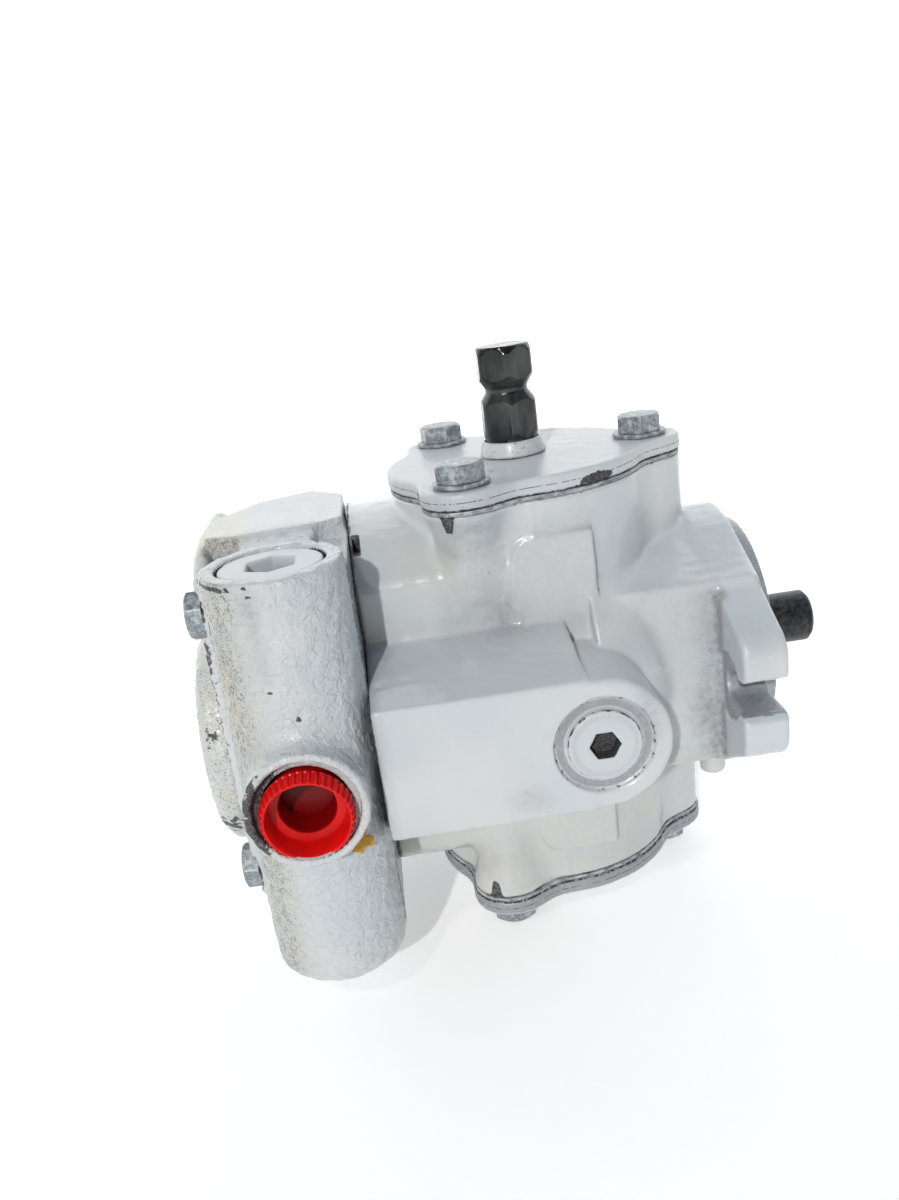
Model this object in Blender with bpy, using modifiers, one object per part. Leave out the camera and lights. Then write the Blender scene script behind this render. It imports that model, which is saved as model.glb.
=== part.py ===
"""Variable-displacement axial piston pump, built as an assembly of separate pieces.

The row's origin is the centre of the mounting face, on the input shaft's axis.
+X runs out along the input shaft and +Z along the control shaft. Inside the
script every length is in the trunnion frame, whose origin is where the
swashplate's tilt axis (Z) crosses the shaft axis (X); one empty carries that
frame to its place behind the mounting face.
"""

import math

import bmesh
import bpy
from mathutils import Matrix

MM = 0.001
GAP = 0.3 * MM

# Mounting flange and input shaft
FACE_X = 71.3 * MM
FLANGE_THICKNESS = 14.8 * MM
PILOT_RADIUS = 41.275 * MM
PILOT_HEIGHT = 6.35 * MM
FLANGE_RADIUS = 48.0 * MM
FLANGE_REACH = 69.8 * MM
FLANGE_CORNER = 9.0 * MM
FLANGE_CORNER_Z = 13.4 * MM
FLANGE_BOLT_Y = 53.2 * MM
SLOT_WIDTH = 11.1 * MM
SLOT_MOUTH = 15.0 * MM
SHAFT_RADIUS = 9.525 * MM
SHAFT_END_X = 104.1 * MM

# Housing casting
JOINT_X = -59.7 * MM
BARREL_RADIUS = 66.5 * MM
BARREL_HALF_WIDTH = 45.0 * MM
BARREL_FRONT_X = 17.0 * MM
BULB_RADIUS = 60.0 * MM
NECK_TOP = 69.5 * MM
PAD_LEFT_X = -10.0 * MM
PAD_TOP = 58.0 * MM
BLOCK_FACE_Y = -82.8 * MM
BLOCK_HALF_HEIGHT = 22.0 * MM
BLOCK_ROOT_HALF_HEIGHT = 29.3 * MM
BLOCK_RIGHT_X = 4.5 * MM
BOSS_X = 8.4 * MM
BOSS_RADIUS = 21.45 * MM
WEB_LEFT_X = 24.0 * MM
CAVITY_RADIUS = 40.0 * MM
CAVITY_FRONT_X = 27.0 * MM
FRONT_BEARING_RADIUS = 19.8 * MM
SEAL_RADIUS = 17.0 * MM
TRUNNION_BORE_RADIUS = 27.3 * MM

# Trunnion covers and their bolts
COVER_TOP = 76.8 * MM
COVER_BOTTOM = 71.2 * MM
SHIM_TOP = 70.9 * MM
COVER_DISC_RADIUS = 45.0 * MM
COVER_BOLT_CIRCLE = 45.0 * MM
COVER_BOLT_TURNS = (0.0, 119.5, -119.5)
EAR_RADIUS = 13.7 * MM
EAR_FILLET = 10.0 * MM
COLUMN_FOOT_RADIUS = 4.8 * MM
COLUMN_FOOT_Z = 42.0 * MM
BOLT_HEAD_FLATS = 14.3 * MM
BOLT_HEAD_HEIGHT = 5.7 * MM
BOLT_SHANK_RADIUS = 4.7 * MM
BOLT_HOLE_RADIUS = 5.1 * MM
WASHER_RADIUS = 9.3 * MM
WASHER_THICKNESS = 1.4 * MM
SEAT_GAP = 0.15 * MM

# Control shaft
CONTROL_FLATS = 18.2 * MM
CONTROL_TOP = 114.0 * MM
CONTROL_ROUND_RADIUS = 9.2 * MM
CONTROL_GROOVE_RADIUS = 7.6 * MM
BOOT_RADIUS = 11.4 * MM
BOOT_HEIGHT = 5.2 * MM

# Rotating group
PISTONS = 7
PISTON_CIRCLE = 26.0 * MM
PISTON_RADIUS = 6.9 * MM
BALL_RADIUS = 4.8 * MM
BLOCK_RADIUS = 35.0 * MM
BLOCK_FRONT_X = -17.0 * MM
BLOCK_REAR_X = -56.4 * MM
VALVE_PLATE_THICKNESS = 4.0 * MM
SWASH_FACE_X = 6.7 * MM
SWASH_THICKNESS = 10.3 * MM
SWASH_RADIUS = 35.0 * MM
SLIPPER_SOLE_RADIUS = 8.8 * MM
SLIPPER_NECK_RADIUS = 6.2 * MM
TRUNNION_RADIUS = 12.2 * MM

# End cap casting, its two valve cylinders and ports
END_CAP_FRONT_X = -61.0 * MM
END_CAP_REAR_X = -112.0 * MM
END_CAP_HALF_WIDTH = 47.0 * MM
END_CAP_HALF_HEIGHT = 57.5 * MM
END_CAP_TOP = 68.7 * MM
REAR_PLATE_RADIUS = 72.0 * MM
REAR_PLATE_TOP = 66.8 * MM
REAR_CYLINDER_TOP = 49.0 * MM
CYLINDER_X = -83.2 * MM
CYLINDER_Y = 67.3 * MM
CYLINDER_RADIUS = 21.6 * MM
PLUG_BORE_RADIUS = 16.7 * MM
PLUG_HEAD_RADIUS = 15.9 * MM
VALVE_SOCKET_FLATS = 14.3 * MM
PORT_FACE_Y = 96.9 * MM
PORT_BOSS_RADIUS = 18.7 * MM
PORT_BORE_RADIUS = 13.6 * MM
PORT_SEAT_RADIUS = 16.0 * MM
CAP_HEAD_RADIUS = 14.3 * MM
END_BOLT_Y = 39.5 * MM
END_BOLT_Z = 47.2 * MM
END_BOLT_ROOT_RADIUS = 4.0 * MM
END_BOLT_SEAT_X = -110.0 * MM
END_BOLT_SEAT_RADIUS = 9.4 * MM

# Charge pump at the back of the end cap
CHARGE_COVER_RADIUS = 40.0 * MM
CHARGE_COVER_REAR_X = -122.8 * MM
CHARGE_COVER_Z = -12.0 * MM
OUTER_LOBES = 7
LOBE_CIRCLE = 17.5 * MM
LOBE_RADIUS = 4.5 * MM
ECCENTRICITY = 1.6 * MM
OUTER_ROTOR_RADIUS = 22.0 * MM
ROTOR_CLEARANCE = 0.45 * MM
ROTOR_FRONT_X = -112.9 * MM
ROTOR_THICKNESS = 7.2 * MM

# Each turn carries local Z, the axis that pieces are modelled along, to a direction
TURNS = {
    "+Z": (0.0, 0.0, 0.0),
    "-Z": (math.pi, 0.0, 0.0),
    "+X": (math.pi / 2, 0.0, math.pi / 2),
    "-Y": (math.pi / 2, 0.0, 0.0),
    "+Y": (math.pi / 2, 0.0, math.pi),
}

COLOURS = {
    "paint": ((0.80, 0.81, 0.80), 0.32, 0.0),
    "zinc": ((0.55, 0.58, 0.60), 0.42, 0.7),
    "steel": ((0.42, 0.43, 0.44), 0.30, 1.0),
    "dark_steel": ((0.06, 0.06, 0.065), 0.38, 0.9),
    "bronze": ((0.62, 0.40, 0.20), 0.40, 1.0),
    "iron": ((0.20, 0.20, 0.21), 0.50, 0.8),
    "rubber": ((0.03, 0.03, 0.03), 0.60, 0.0),
    "gasket": ((0.12, 0.12, 0.11), 0.80, 0.0),
    "red_plastic": ((0.80, 0.02, 0.02), 0.28, 0.0),
}


def clear_scene():
    for item in list(bpy.data.objects):
        bpy.data.objects.remove(item, do_unlink=True)


def new_collection(name):
    collection = bpy.data.collections.new(name)
    bpy.context.scene.collection.children.link(collection)
    return collection


def new_material(name):
    colour, roughness, metallic = COLOURS[name]
    material = bpy.data.materials.new(name)
    material.use_nodes = True
    shader = material.node_tree.nodes["Principled BSDF"]
    shader.inputs["Base Color"].default_value = (*colour, 1.0)
    shader.inputs["Roughness"].default_value = roughness
    shader.inputs["Metallic"].default_value = metallic
    material.diffuse_color = (*colour, 1.0)
    return material


clear_scene()
PARTS = new_collection("axial_piston_pump")
CUTTERS = new_collection("cutters")
MATERIALS = {name: new_material(name) for name in COLOURS}

FRAME = bpy.data.objects.new("trunnion_centre", None)
FRAME.location = (-FACE_X, 0.0, 0.0)
PARTS.objects.link(FRAME)


def place(mesh, name, direction, location, material):
    """Put a mesh in the assembly, or among the cutters when it has no material."""
    item = bpy.data.objects.new(name, mesh)
    item.rotation_euler = TURNS[direction]
    item.location = location
    item.parent = FRAME
    if material is None:
        CUTTERS.objects.link(item)
        item.hide_render = True
        item.display_type = "WIRE"
        return item
    PARTS.objects.link(item)
    mesh.materials.append(MATERIALS[material])
    for face in mesh.polygons:
        face.use_smooth = True
    mesh.set_sharp_from_angle(angle=math.radians(35))
    return item


def mesh_from(bm, name):
    bmesh.ops.recalc_face_normals(bm, faces=bm.faces)
    mesh = bpy.data.meshes.new(name)
    bm.to_mesh(mesh)
    bm.free()
    return mesh


def box(name, low, high, material=None):
    """Block between two corners in the trunnion frame."""
    bm = bmesh.new()
    bmesh.ops.create_cube(bm, size=1.0)
    size = [high[i] - low[i] for i in range(3)]
    centre = [(high[i] + low[i]) / 2 for i in range(3)]
    bmesh.ops.scale(bm, vec=size, verts=bm.verts)
    return place(mesh_from(bm, name), name, "+Z", centre, material)


def rod(name, radius, start, end, direction, centre, sides=32, material=None, skew=0.35):
    """Cylinder from start to end along a direction through centre.

    skew turns it by part of a facet, so that its corners miss its neighbours' corners.
    """
    bm = bmesh.new()
    bmesh.ops.create_cone(
        bm, cap_ends=True, segments=sides, radius1=radius, radius2=radius, depth=end - start
    )
    turn = Matrix.Rotation(2 * math.pi * skew / sides, 3, "Z")
    bmesh.ops.rotate(bm, cent=(0.0, 0.0, 0.0), matrix=turn, verts=bm.verts)
    bmesh.ops.translate(bm, vec=(0.0, 0.0, (start + end) / 2), verts=bm.verts)
    return place(mesh_from(bm, name), name, direction, centre, material)


def hexagon(name, flats, start, end, direction, centre, material=None):
    """Hexagonal bar, its flats the given distance apart."""
    corner_radius = flats / math.sqrt(3.0)
    return rod(name, corner_radius, start, end, direction, centre, 6, material, 0.0)


def turned(name, profile, direction, centre, sides=32, material=None, ring=False):
    """Body turned about its local Z from a profile of (radius, height) points.

    The profile runs down the outside, and a ring's profile closes up its bore.
    """
    bm = bmesh.new()
    points = [bm.verts.new((radius, 0.0, height)) for radius, height in profile]
    for first, second in zip(points, points[1:]):
        if first.co.x or second.co.x:
            bm.edges.new((first, second))
    if ring:
        bm.edges.new((points[-1], points[0]))
    mesh = bpy.data.meshes.new(name)
    bm.to_mesh(mesh)
    bm.free()
    item = place(mesh, name, direction, centre, material)
    screw = item.modifiers.new("turn", "SCREW")
    screw.steps = sides
    screw.render_steps = sides
    screw.use_merge_vertices = True
    screw.merge_threshold = 0.00001
    screw.use_smooth_shade = True
    return item


def plate(name, outline, start, end, direction, centre=(0.0, 0.0, 0.0), material=None):
    """Flat outline extruded from start to end along a direction."""
    curve = bpy.data.curves.new(name, "CURVE")
    curve.dimensions = "2D"
    curve.fill_mode = "BOTH"
    curve.extrude = (end - start) / 2
    spline = curve.splines.new("POLY")
    spline.points.add(len(outline) - 1)
    for point, (across, up) in zip(spline.points, outline):
        point.co = (across, up, 0.0, 1.0)
    spline.use_cyclic_u = True
    source = bpy.data.objects.new(name, curve)
    mesh = bpy.data.meshes.new_from_object(source)
    bpy.data.objects.remove(source)
    bpy.data.curves.remove(curve)
    bm = bmesh.new()
    bm.from_mesh(mesh)
    bpy.data.meshes.remove(mesh)
    bmesh.ops.remove_doubles(bm, verts=bm.verts, dist=0.00001)
    bmesh.ops.translate(bm, vec=(0.0, 0.0, (start + end) / 2), verts=bm.verts)
    return place(mesh_from(bm, name), name, direction, centre, material)


def combine(item, tool, operation):
    modifier = item.modifiers.new(tool.name, "BOOLEAN")
    modifier.operation = operation
    modifier.object = tool
    modifier.solver = "EXACT"


def join(item, *tools):
    for tool in tools:
        combine(item, tool, "UNION")


def cut(item, *tools):
    for tool in tools:
        combine(item, tool, "DIFFERENCE")


def weld_cut_edges():
    """Merge the points that two cuts leave on top of each other."""
    for item in PARTS.objects:
        if any(modifier.type == "BOOLEAN" for modifier in item.modifiers):
            weld = item.modifiers.new("weld", "WELD")
            weld.merge_threshold = 0.00001


def arc(centre, radius, first, last, count):
    """Points on an arc, angles in degrees."""
    turns = [math.radians(first + (last - first) * i / count) for i in range(count + 1)]
    return [(centre[0] + radius * math.cos(t), centre[1] + radius * math.sin(t)) for t in turns]


def mirrored(points, across):
    """The same points reflected and reversed, so that an outline keeps its direction."""
    if across:
        return [(-u, v) for u, v in reversed(points)]
    return [(u, -v) for u, v in reversed(points)]


def blended(first, second, fillet):
    """Smaller of two distances, eased into each other as a fillet does."""
    share = min(max(0.5 + 0.5 * (second - first) / fillet, 0.0), 1.0)
    return second * (1 - share) + first * share - fillet * share * (1 - share)


def cover_distance(x, y, inset, turns):
    """How far a point lies outside the cover's outline: a disc with filleted bolt ears."""
    distance = math.hypot(x, y) - COVER_DISC_RADIUS + inset
    for bolt in turns:
        turn = math.radians(bolt)
        ear_x = x - COVER_BOLT_CIRCLE * math.cos(turn)
        ear_y = y - COVER_BOLT_CIRCLE * math.sin(turn)
        distance = blended(distance, math.hypot(ear_x, ear_y) - EAR_RADIUS + inset, EAR_FILLET)
    return distance


def cover_outline(inset=0.0, count=60, turns=COVER_BOLT_TURNS):
    """Points of the cover's outline, each found by halving along its own ray."""
    points = []
    for i in range(count):
        turn = 2 * math.pi * i / count
        low, high = 0.0, COVER_BOLT_CIRCLE + EAR_RADIUS + MM
        for _ in range(30):
            radius = (low + high) / 2
            x, y = radius * math.cos(turn), radius * math.sin(turn)
            if cover_distance(x, y, inset, turns) > 0:
                high = radius
            else:
                low = radius
        points.append((low * math.cos(turn), low * math.sin(turn)))
    return points


def cover_bolt_places():
    places = []
    for bolt in COVER_BOLT_TURNS:
        turn = math.radians(bolt)
        places.append((COVER_BOLT_CIRCLE * math.cos(turn), COVER_BOLT_CIRCLE * math.sin(turn)))
    return places


def barrel_outline():
    """Circle about the shaft axis, cut flat at both sides."""
    edge = math.degrees(math.acos(BARREL_HALF_WIDTH / BARREL_RADIUS))
    top = arc((0.0, 0.0), BARREL_RADIUS, edge, 180.0 - edge, 10)
    return top + [(u, -v) for u, v in reversed(top)]


def flange_outline():
    """Two-bolt flange: round top and bottom, straight flanks, rounded ear ends."""
    corner = (FLANGE_REACH - FLANGE_CORNER, FLANGE_CORNER_Z)
    distance = math.hypot(*corner)
    lean = math.atan2(corner[1], corner[0])
    flank = math.degrees(lean + math.acos((FLANGE_RADIUS - FLANGE_CORNER) / distance))
    quarter = arc(corner, FLANGE_CORNER, 0.0, flank, 6)
    quarter += arc((0.0, 0.0), FLANGE_RADIUS, flank, 90.0, 6)
    upper = quarter + mirrored(quarter, True)[1:]
    return upper + mirrored(upper, False)


def kidney_outline(first, last, inner, outer):
    return arc((0.0, 0.0), outer, first, last, 5) + arc((0.0, 0.0), inner, last, first, 5)


def piston_places():
    places = []
    for i in range(PISTONS):
        turn = 2 * math.pi * i / PISTONS
        places.append((PISTON_CIRCLE * math.cos(turn), PISTON_CIRCLE * math.sin(turn)))
    return places


def housing():
    """Iron casting: barrel, neck, pad, side block, drain boss, bulb, web and flange."""
    body = plate("housing", barrel_outline(), JOINT_X, BARREL_FRONT_X, "+X", material="paint")
    bulb = turned("bulb", bulb_profile(), "+X", (0.0, 0.0, 0.0), 28)
    outline = cover_outline(0.5 * MM, turns=COVER_BOLT_TURNS[:1])
    neck = plate("neck", outline, -NECK_TOP, NECK_TOP, "+Z")
    foot = rod("web_foot", 4.6 * MM, -49.8 * MM, -38 * MM, "+Z", (60.5 * MM, -18 * MM, 0.0), 10)
    join(body, bulb, neck, foot)
    join(body, *bolt_columns())
    join(body, pad(), side_block(), drain_boss(), flange_web(), flange())
    cut(body, *housing_bores())


def bolt_columns():
    """Under each side ear of both covers, a column that tapers away into the casting."""
    radius = EAR_RADIUS - 0.5 * MM
    profile = [(0.0, NECK_TOP), (radius, NECK_TOP), (radius - MM, NECK_TOP - 4 * MM)]
    profile += [(COLUMN_FOOT_RADIUS, COLUMN_FOOT_Z), (0.0, COLUMN_FOOT_Z)]
    columns = []
    for direction, side in (("+Z", 1), ("-Z", -1)):
        for i, (x, y) in enumerate(cover_bolt_places()[1:]):
            name = f"bolt_column_{side}_{i}"
            columns.append(turned(name, profile, direction, (x, y, 0.0), 24))
    return columns


def bulb_profile():
    """Part of a sphere, from its nose back to just inside the barrel's front."""
    back = BARREL_FRONT_X - 0.4 * MM
    last = math.degrees(math.asin(back / BULB_RADIUS))
    return [(0.0, BULB_RADIUS)] + arc((0.0, 0.0), BULB_RADIUS, 90.0, last, 5)[1:] + [(0.0, back)]


def pad():
    """Raised flat on each side of the neck, between the barrel and the bulb."""
    reach = BARREL_HALF_WIDTH + 0.3 * MM
    low = (PAD_LEFT_X, -reach, -PAD_TOP)
    high = (BARREL_FRONT_X + 0.3 * MM, reach, PAD_TOP)
    return box("pad", low, high)


def side_block():
    """Long block on the -Y side, its top and bottom sloping in towards its face."""
    root_y = -BARREL_HALF_WIDTH
    inner_y = root_y + 4 * MM
    slope = (BLOCK_ROOT_HALF_HEIGHT - BLOCK_HALF_HEIGHT) / (root_y - BLOCK_FACE_Y)
    outline = [
        (inner_y, BLOCK_ROOT_HALF_HEIGHT + slope * (inner_y - root_y)),
        (BLOCK_FACE_Y, BLOCK_HALF_HEIGHT),
    ]
    outline += mirrored(outline, False)
    return plate("side_block", outline, JOINT_X + 0.5 * MM, BLOCK_RIGHT_X, "+X")


def drain_boss():
    face = -BLOCK_FACE_Y + 0.1 * MM
    return rod("drain_boss", BOSS_RADIUS, 38 * MM, face, "-Y", (BOSS_X, 0.0, 0.0), 28)


def flange_web():
    """Diamond-shaped neck that carries the flange."""
    half = BARREL_HALF_WIDTH - 0.1 * MM
    outline = [(0.0, FLANGE_RADIUS - 0.5 * MM), (-half, 34 * MM), (-half, -31 * MM)]
    outline += [(0.0, -FLANGE_RADIUS + 0.5 * MM), (half, -31 * MM), (half, 34 * MM)]
    return plate("flange_web", outline, WEB_LEFT_X, FACE_X - 2 * MM, "+X")


def flange():
    rear = FACE_X - FLANGE_THICKNESS
    outline = flange_outline()
    body = plate("flange", outline, rear, FACE_X, "+X")
    top = FACE_X + PILOT_HEIGHT
    pilot = rod("pilot", PILOT_RADIUS, rear + 2 * MM, top, "+X", (0.0, 0.0, 0.0), 36)
    join(body, pilot)
    return body


def housing_bores():
    """Everything that is machined out of the casting."""
    centre = (0.0, 0.0, 0.0)
    seal_start = FACE_X - 8 * MM
    bearing_end = 51 * MM
    front = FACE_X + PILOT_HEIGHT + MM
    bores = [
        rod("cavity", CAVITY_RADIUS, JOINT_X - MM, CAVITY_FRONT_X, "+X", centre, 28),
        rod("bearing_seat", FRONT_BEARING_RADIUS + 0.4 * MM, 20 * MM, bearing_end, "+X", centre, 20),
        rod("shaft_way", 14 * MM, 50 * MM, 70 * MM, "+X", centre, 16),
        rod("seal_seat", SEAL_RADIUS + 0.4 * MM, seal_start, front, "+X", centre, 20),
        rod("trunnion_bore", TRUNNION_BORE_RADIUS, -72 * MM, 72 * MM, "+Z", centre, 24),
    ]
    drain = (BOSS_X, 0.0, 0.0)
    face = -BLOCK_FACE_Y
    bores += [
        rod("drain_seat", 15.76 * MM, face - 1.4 * MM, face + MM, "-Y", drain, 24),
        rod("drain_bore", 9.6 * MM, 64 * MM, face, "-Y", drain, 16),
        rod("drain_way", 4.5 * MM, 30 * MM, 66 * MM, "-Y", drain, 8),
    ]
    for side in (1, -1):
        for i, (x, y) in enumerate(cover_bolt_places()):
            low, high = sorted((side * 47 * MM, side * (NECK_TOP + MM)))
            name = f"cover_bolt_hole_{side}_{i}"
            bores.append(rod(name, BOLT_HOLE_RADIUS, low, high, "+Z", (x, y, 0.0), 10))
        bores += flange_slot(side)
    for i, (y, z) in enumerate(end_bolt_places()):
        hole_radius = END_BOLT_ROOT_RADIUS + GAP
        name = f"end_bolt_hole_{i}"
        bores.append(rod(name, hole_radius, JOINT_X - MM, -36 * MM, "+X", (0.0, y, z), 8))
    return bores


def flange_slot(side):
    """Bolt slot through one ear, open at the ear's end where it flares."""
    rear = FACE_X - FLANGE_THICKNESS - MM
    half = SLOT_WIDTH / 2
    mouth = SLOT_MOUTH / 2
    inner_y = side * FLANGE_BOLT_Y
    flare_y = side * (FLANGE_REACH - 3.5 * MM)
    outer_y = side * (FLANGE_REACH + 2 * MM)
    outline = arc((0.0, 0.0), half, 90.0, 270.0, 6)
    outline = [(inner_y + side * u, v) for u, v in outline]
    outline += [(flare_y, -half), (outer_y, -mouth), (outer_y, mouth), (flare_y, half)]
    if side < 0:
        outline.reverse()
    return [plate(f"flange_slot_{side}", outline, rear, FACE_X + MM, "+X")]


def end_bolt_places():
    return [(y * END_BOLT_Y, z * END_BOLT_Z) for y in (-1, 1) for z in (-1, 1)]


def trunnion_cover(name, side):
    """Cover with three bolt ears and a spigot that holds the trunnion bearing."""
    outline = cover_outline()
    direction = "+Z" if side > 0 else "-Z"
    if side < 0:
        outline = mirrored(outline, False)
    body = plate(name, outline, COVER_BOTTOM, COVER_TOP, direction, material="paint")
    spigot_radius = TRUNNION_BORE_RADIUS - 0.5 * MM
    low = 65.2 * MM
    spigot = rod(f"{name}_spigot", spigot_radius, low, COVER_BOTTOM + MM, direction, (0, 0, 0), 24)
    join(body, spigot)
    for i, (x, y) in enumerate(cover_bolt_places()):
        place_y = y if side > 0 else -y
        hole_name = f"{name}_hole_{i}"
        start, end = COVER_BOTTOM - MM, COVER_TOP + MM
        cut(body, rod(hole_name, BOLT_HOLE_RADIUS, start, end, direction, (x, place_y, 0.0), 10))
    if side > 0:
        bore_radius = CONTROL_ROUND_RADIUS + 0.4 * MM
        bore = rod(f"{name}_bore", bore_radius, 60 * MM, 80 * MM, direction, (0, 0, 0), 24)
        cut(body, bore)


def cover_shim(name, side):
    """Shim stack that sets the trunnion bearings' end play."""
    outline = cover_outline(0.4 * MM)
    direction = "+Z" if side > 0 else "-Z"
    if side < 0:
        outline = mirrored(outline, False)
    low = NECK_TOP + GAP
    body = plate(name, outline, low, SHIM_TOP, direction, material="zinc")
    opening = TRUNNION_BORE_RADIUS
    cut(body, rod(f"{name}_bore", opening, low - MM, SHIM_TOP + MM, direction, (0, 0, 0), 24))
    for i, (x, y) in enumerate(cover_bolt_places()):
        place_y = y if side > 0 else -y
        hole_name = f"{name}_hole_{i}"
        start, end = low - MM, SHIM_TOP + MM
        cut(body, rod(hole_name, BOLT_HOLE_RADIUS, start, end, direction, (x, place_y, 0.0), 10))


def hex_bolt(name, direction, location, head_base, shank_end, shank_radius):
    """Hex-head bolt along a direction, its head standing on head_base."""
    head_top = head_base + BOLT_HEAD_HEIGHT
    body = hexagon(name, BOLT_HEAD_FLATS, head_base, head_top, direction, location, "zinc")
    start, end = shank_end, head_base + MM
    shank = rod(f"{name}_shank", shank_radius, start, end, direction, location, 12)
    join(body, shank)
    return body


def cover_fasteners():
    washer_base = COVER_TOP + SEAT_GAP
    head_base = washer_base + WASHER_THICKNESS + SEAT_GAP
    washer_top = washer_base + WASHER_THICKNESS
    count = 0
    for side, direction in ((1, "+Z"), (-1, "-Z")):
        for x, y in cover_bolt_places():
            count += 1
            centre = (x, y, 0.0)
            bolt_name = f"cover_bolt_{count}"
            hex_bolt(bolt_name, direction, centre, head_base, 51 * MM, BOLT_SHANK_RADIUS)
            profile = [
                (WASHER_RADIUS, washer_top),
                (WASHER_RADIUS, washer_base),
                (BOLT_HOLE_RADIUS, washer_base),
                (BOLT_HOLE_RADIUS, washer_top),
            ]
            turned(f"cover_washer_{count}", profile, direction, centre, 14, "zinc", True)


def end_cap():
    """Sand casting with two vertical valve cylinders and a port boss on each."""
    width, height = END_CAP_HALF_WIDTH, END_CAP_HALF_HEIGHT
    low = (END_CAP_REAR_X + 2 * MM, -width, -height)
    high = (END_CAP_FRONT_X, width, height)
    body = box("end_cap", low, high, "paint")
    rear_end = END_CAP_REAR_X + 4.5 * MM
    join(body, plate("rear_plate", rear_plate_outline(), END_CAP_REAR_X, rear_end, "+X"))
    crown = [
        (-108.2 * MM, -25.8 * MM),
        (-95.6 * MM, -30.2 * MM),
        (-73.5 * MM, -29.3 * MM),
        (-62.5 * MM, -22.0 * MM),
        (-62.5 * MM, 15.0 * MM),
        (-74.2 * MM, 28.8 * MM),
        (-93.7 * MM, 20.6 * MM),
        (-108.2 * MM, 0.4 * MM),
    ]
    join(body, plate("end_cap_crown", crown, -END_CAP_TOP, END_CAP_TOP, "+Z"))
    for side, direction in ((-1, "-Y"), (1, "+Y")):
        centre = (CYLINDER_X, side * CYLINDER_Y, 0.0)
        join(body, valve_cylinder(side), port_boss(side, direction))
        top = cylinder_top(side)
        web_top = min(top - 4 * MM, 63 * MM)
        web_low = (CYLINDER_X - 17 * MM, min(0.0, side * CYLINDER_Y), -60 * MM)
        web_high = (CYLINDER_X + 20 * MM, max(0.0, side * CYLINDER_Y), web_top)
        join(body, box(f"cylinder_web_{side}", web_low, web_high))
        seat_floor = top - 8.7 * MM
        bore_end = seat_floor + 2 * MM
        valve_bore = rod(f"valve_bore_{side}", 13.6 * MM, -8 * MM, bore_end, "+Z", centre, 16)
        seat_end = top + MM
        plug_seat = rod(
            f"plug_seat_{side}", PLUG_BORE_RADIUS, seat_floor, seat_end, "+Z", centre, 24
        )
        port = (CYLINDER_X, 0.0, 0.3 * MM)
        deep, face = CYLINDER_Y, PORT_FACE_Y
        port_bore = rod(f"port_bore_{side}", PORT_BORE_RADIUS, deep, face, direction, port, 20)
        seat_depth = 2.5 * MM
        seat = rod(
            f"port_seat_{side}", PORT_SEAT_RADIUS, face - seat_depth, face + MM, direction, port, 24
        )
        cut(body, valve_bore, plug_seat, port_bore, seat)
    centre = (0.0, 0.0, 0.0)
    bearing_floor = -77 * MM
    cut(body, rod("rear_bearing_seat", 14.4 * MM, bearing_floor, -60 * MM, "+X", centre, 20))
    cut(body, rod("rear_shaft_way", 10.6 * MM, -113 * MM, bearing_floor + MM, "+X", centre, 16))
    for side in (-1, 1):
        first = 90.0 - 60.0 if side > 0 else 270.0 - 60.0
        slot = kidney_outline(first, first + 120.0, 20.5 * MM, 26.5 * MM)
        slot = [(v, u) for u, v in reversed(slot)]
        cut(body, plate(f"end_cap_kidney_{side}", slot, -72 * MM, -60 * MM, "+X"))
    for i, (y, z) in enumerate(end_bolt_places()):
        hole = rod(f"end_cap_hole_{i}", BOLT_HOLE_RADIUS, -114 * MM, -60 * MM, "+X", (0.0, y, z), 10)
        seat = rod(
            f"end_cap_spotface_{i}",
            END_BOLT_SEAT_RADIUS,
            END_CAP_REAR_X - MM,
            END_BOLT_SEAT_X,
            "+X",
            (0.0, y, z),
            20,
        )
        cut(body, hole, seat)


def rear_plate_outline():
    """Circle about the shaft axis, cut flat at the sides, the top and the bottom."""
    outline = []
    for i in range(64):
        turn = 2 * math.pi * (i + 0.5) / 64
        across = REAR_PLATE_RADIUS * math.cos(turn)
        up = REAR_PLATE_RADIUS * math.sin(turn)
        if abs(across) < END_CAP_HALF_WIDTH and abs(up) < REAR_PLATE_TOP:
            outline.append((across, up))
    side_z = math.sqrt(REAR_PLATE_RADIUS**2 - END_CAP_HALF_WIDTH**2)
    top_y = math.sqrt(REAR_PLATE_RADIUS**2 - REAR_PLATE_TOP**2)
    corners = [(END_CAP_HALF_WIDTH, side_z), (top_y, REAR_PLATE_TOP)]
    for across, up in corners:
        outline += [(across, up), (-across, up), (across, -up), (-across, -up)]
    return sorted(outline, key=lambda point: math.atan2(point[1], point[0]))


def cylinder_top(side):
    """The front valve cylinder reaches the crown; the rear one stops lower."""
    return END_CAP_TOP if side < 0 else REAR_CYLINDER_TOP


def valve_cylinder(side):
    """Vertical cylinder, its foot rounded over."""
    top = cylinder_top(side)
    round_start = -END_CAP_TOP + 7 * MM
    profile = [(0.0, top), (CYLINDER_RADIUS, top)]
    profile += arc((CYLINDER_RADIUS - 7 * MM, round_start), 7 * MM, 0.0, -90.0, 4)
    profile += [(0.0, -END_CAP_TOP)]
    centre = (CYLINDER_X, side * CYLINDER_Y, 0.0)
    return turned(f"valve_cylinder_{side}", profile, "+Z", centre, 28)


def port_boss(side, direction):
    centre = (CYLINDER_X, 0.0, 0.3 * MM)
    return rod(f"port_boss_{side}", PORT_BOSS_RADIUS, CYLINDER_Y, PORT_FACE_Y, direction, centre, 28)


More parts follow.
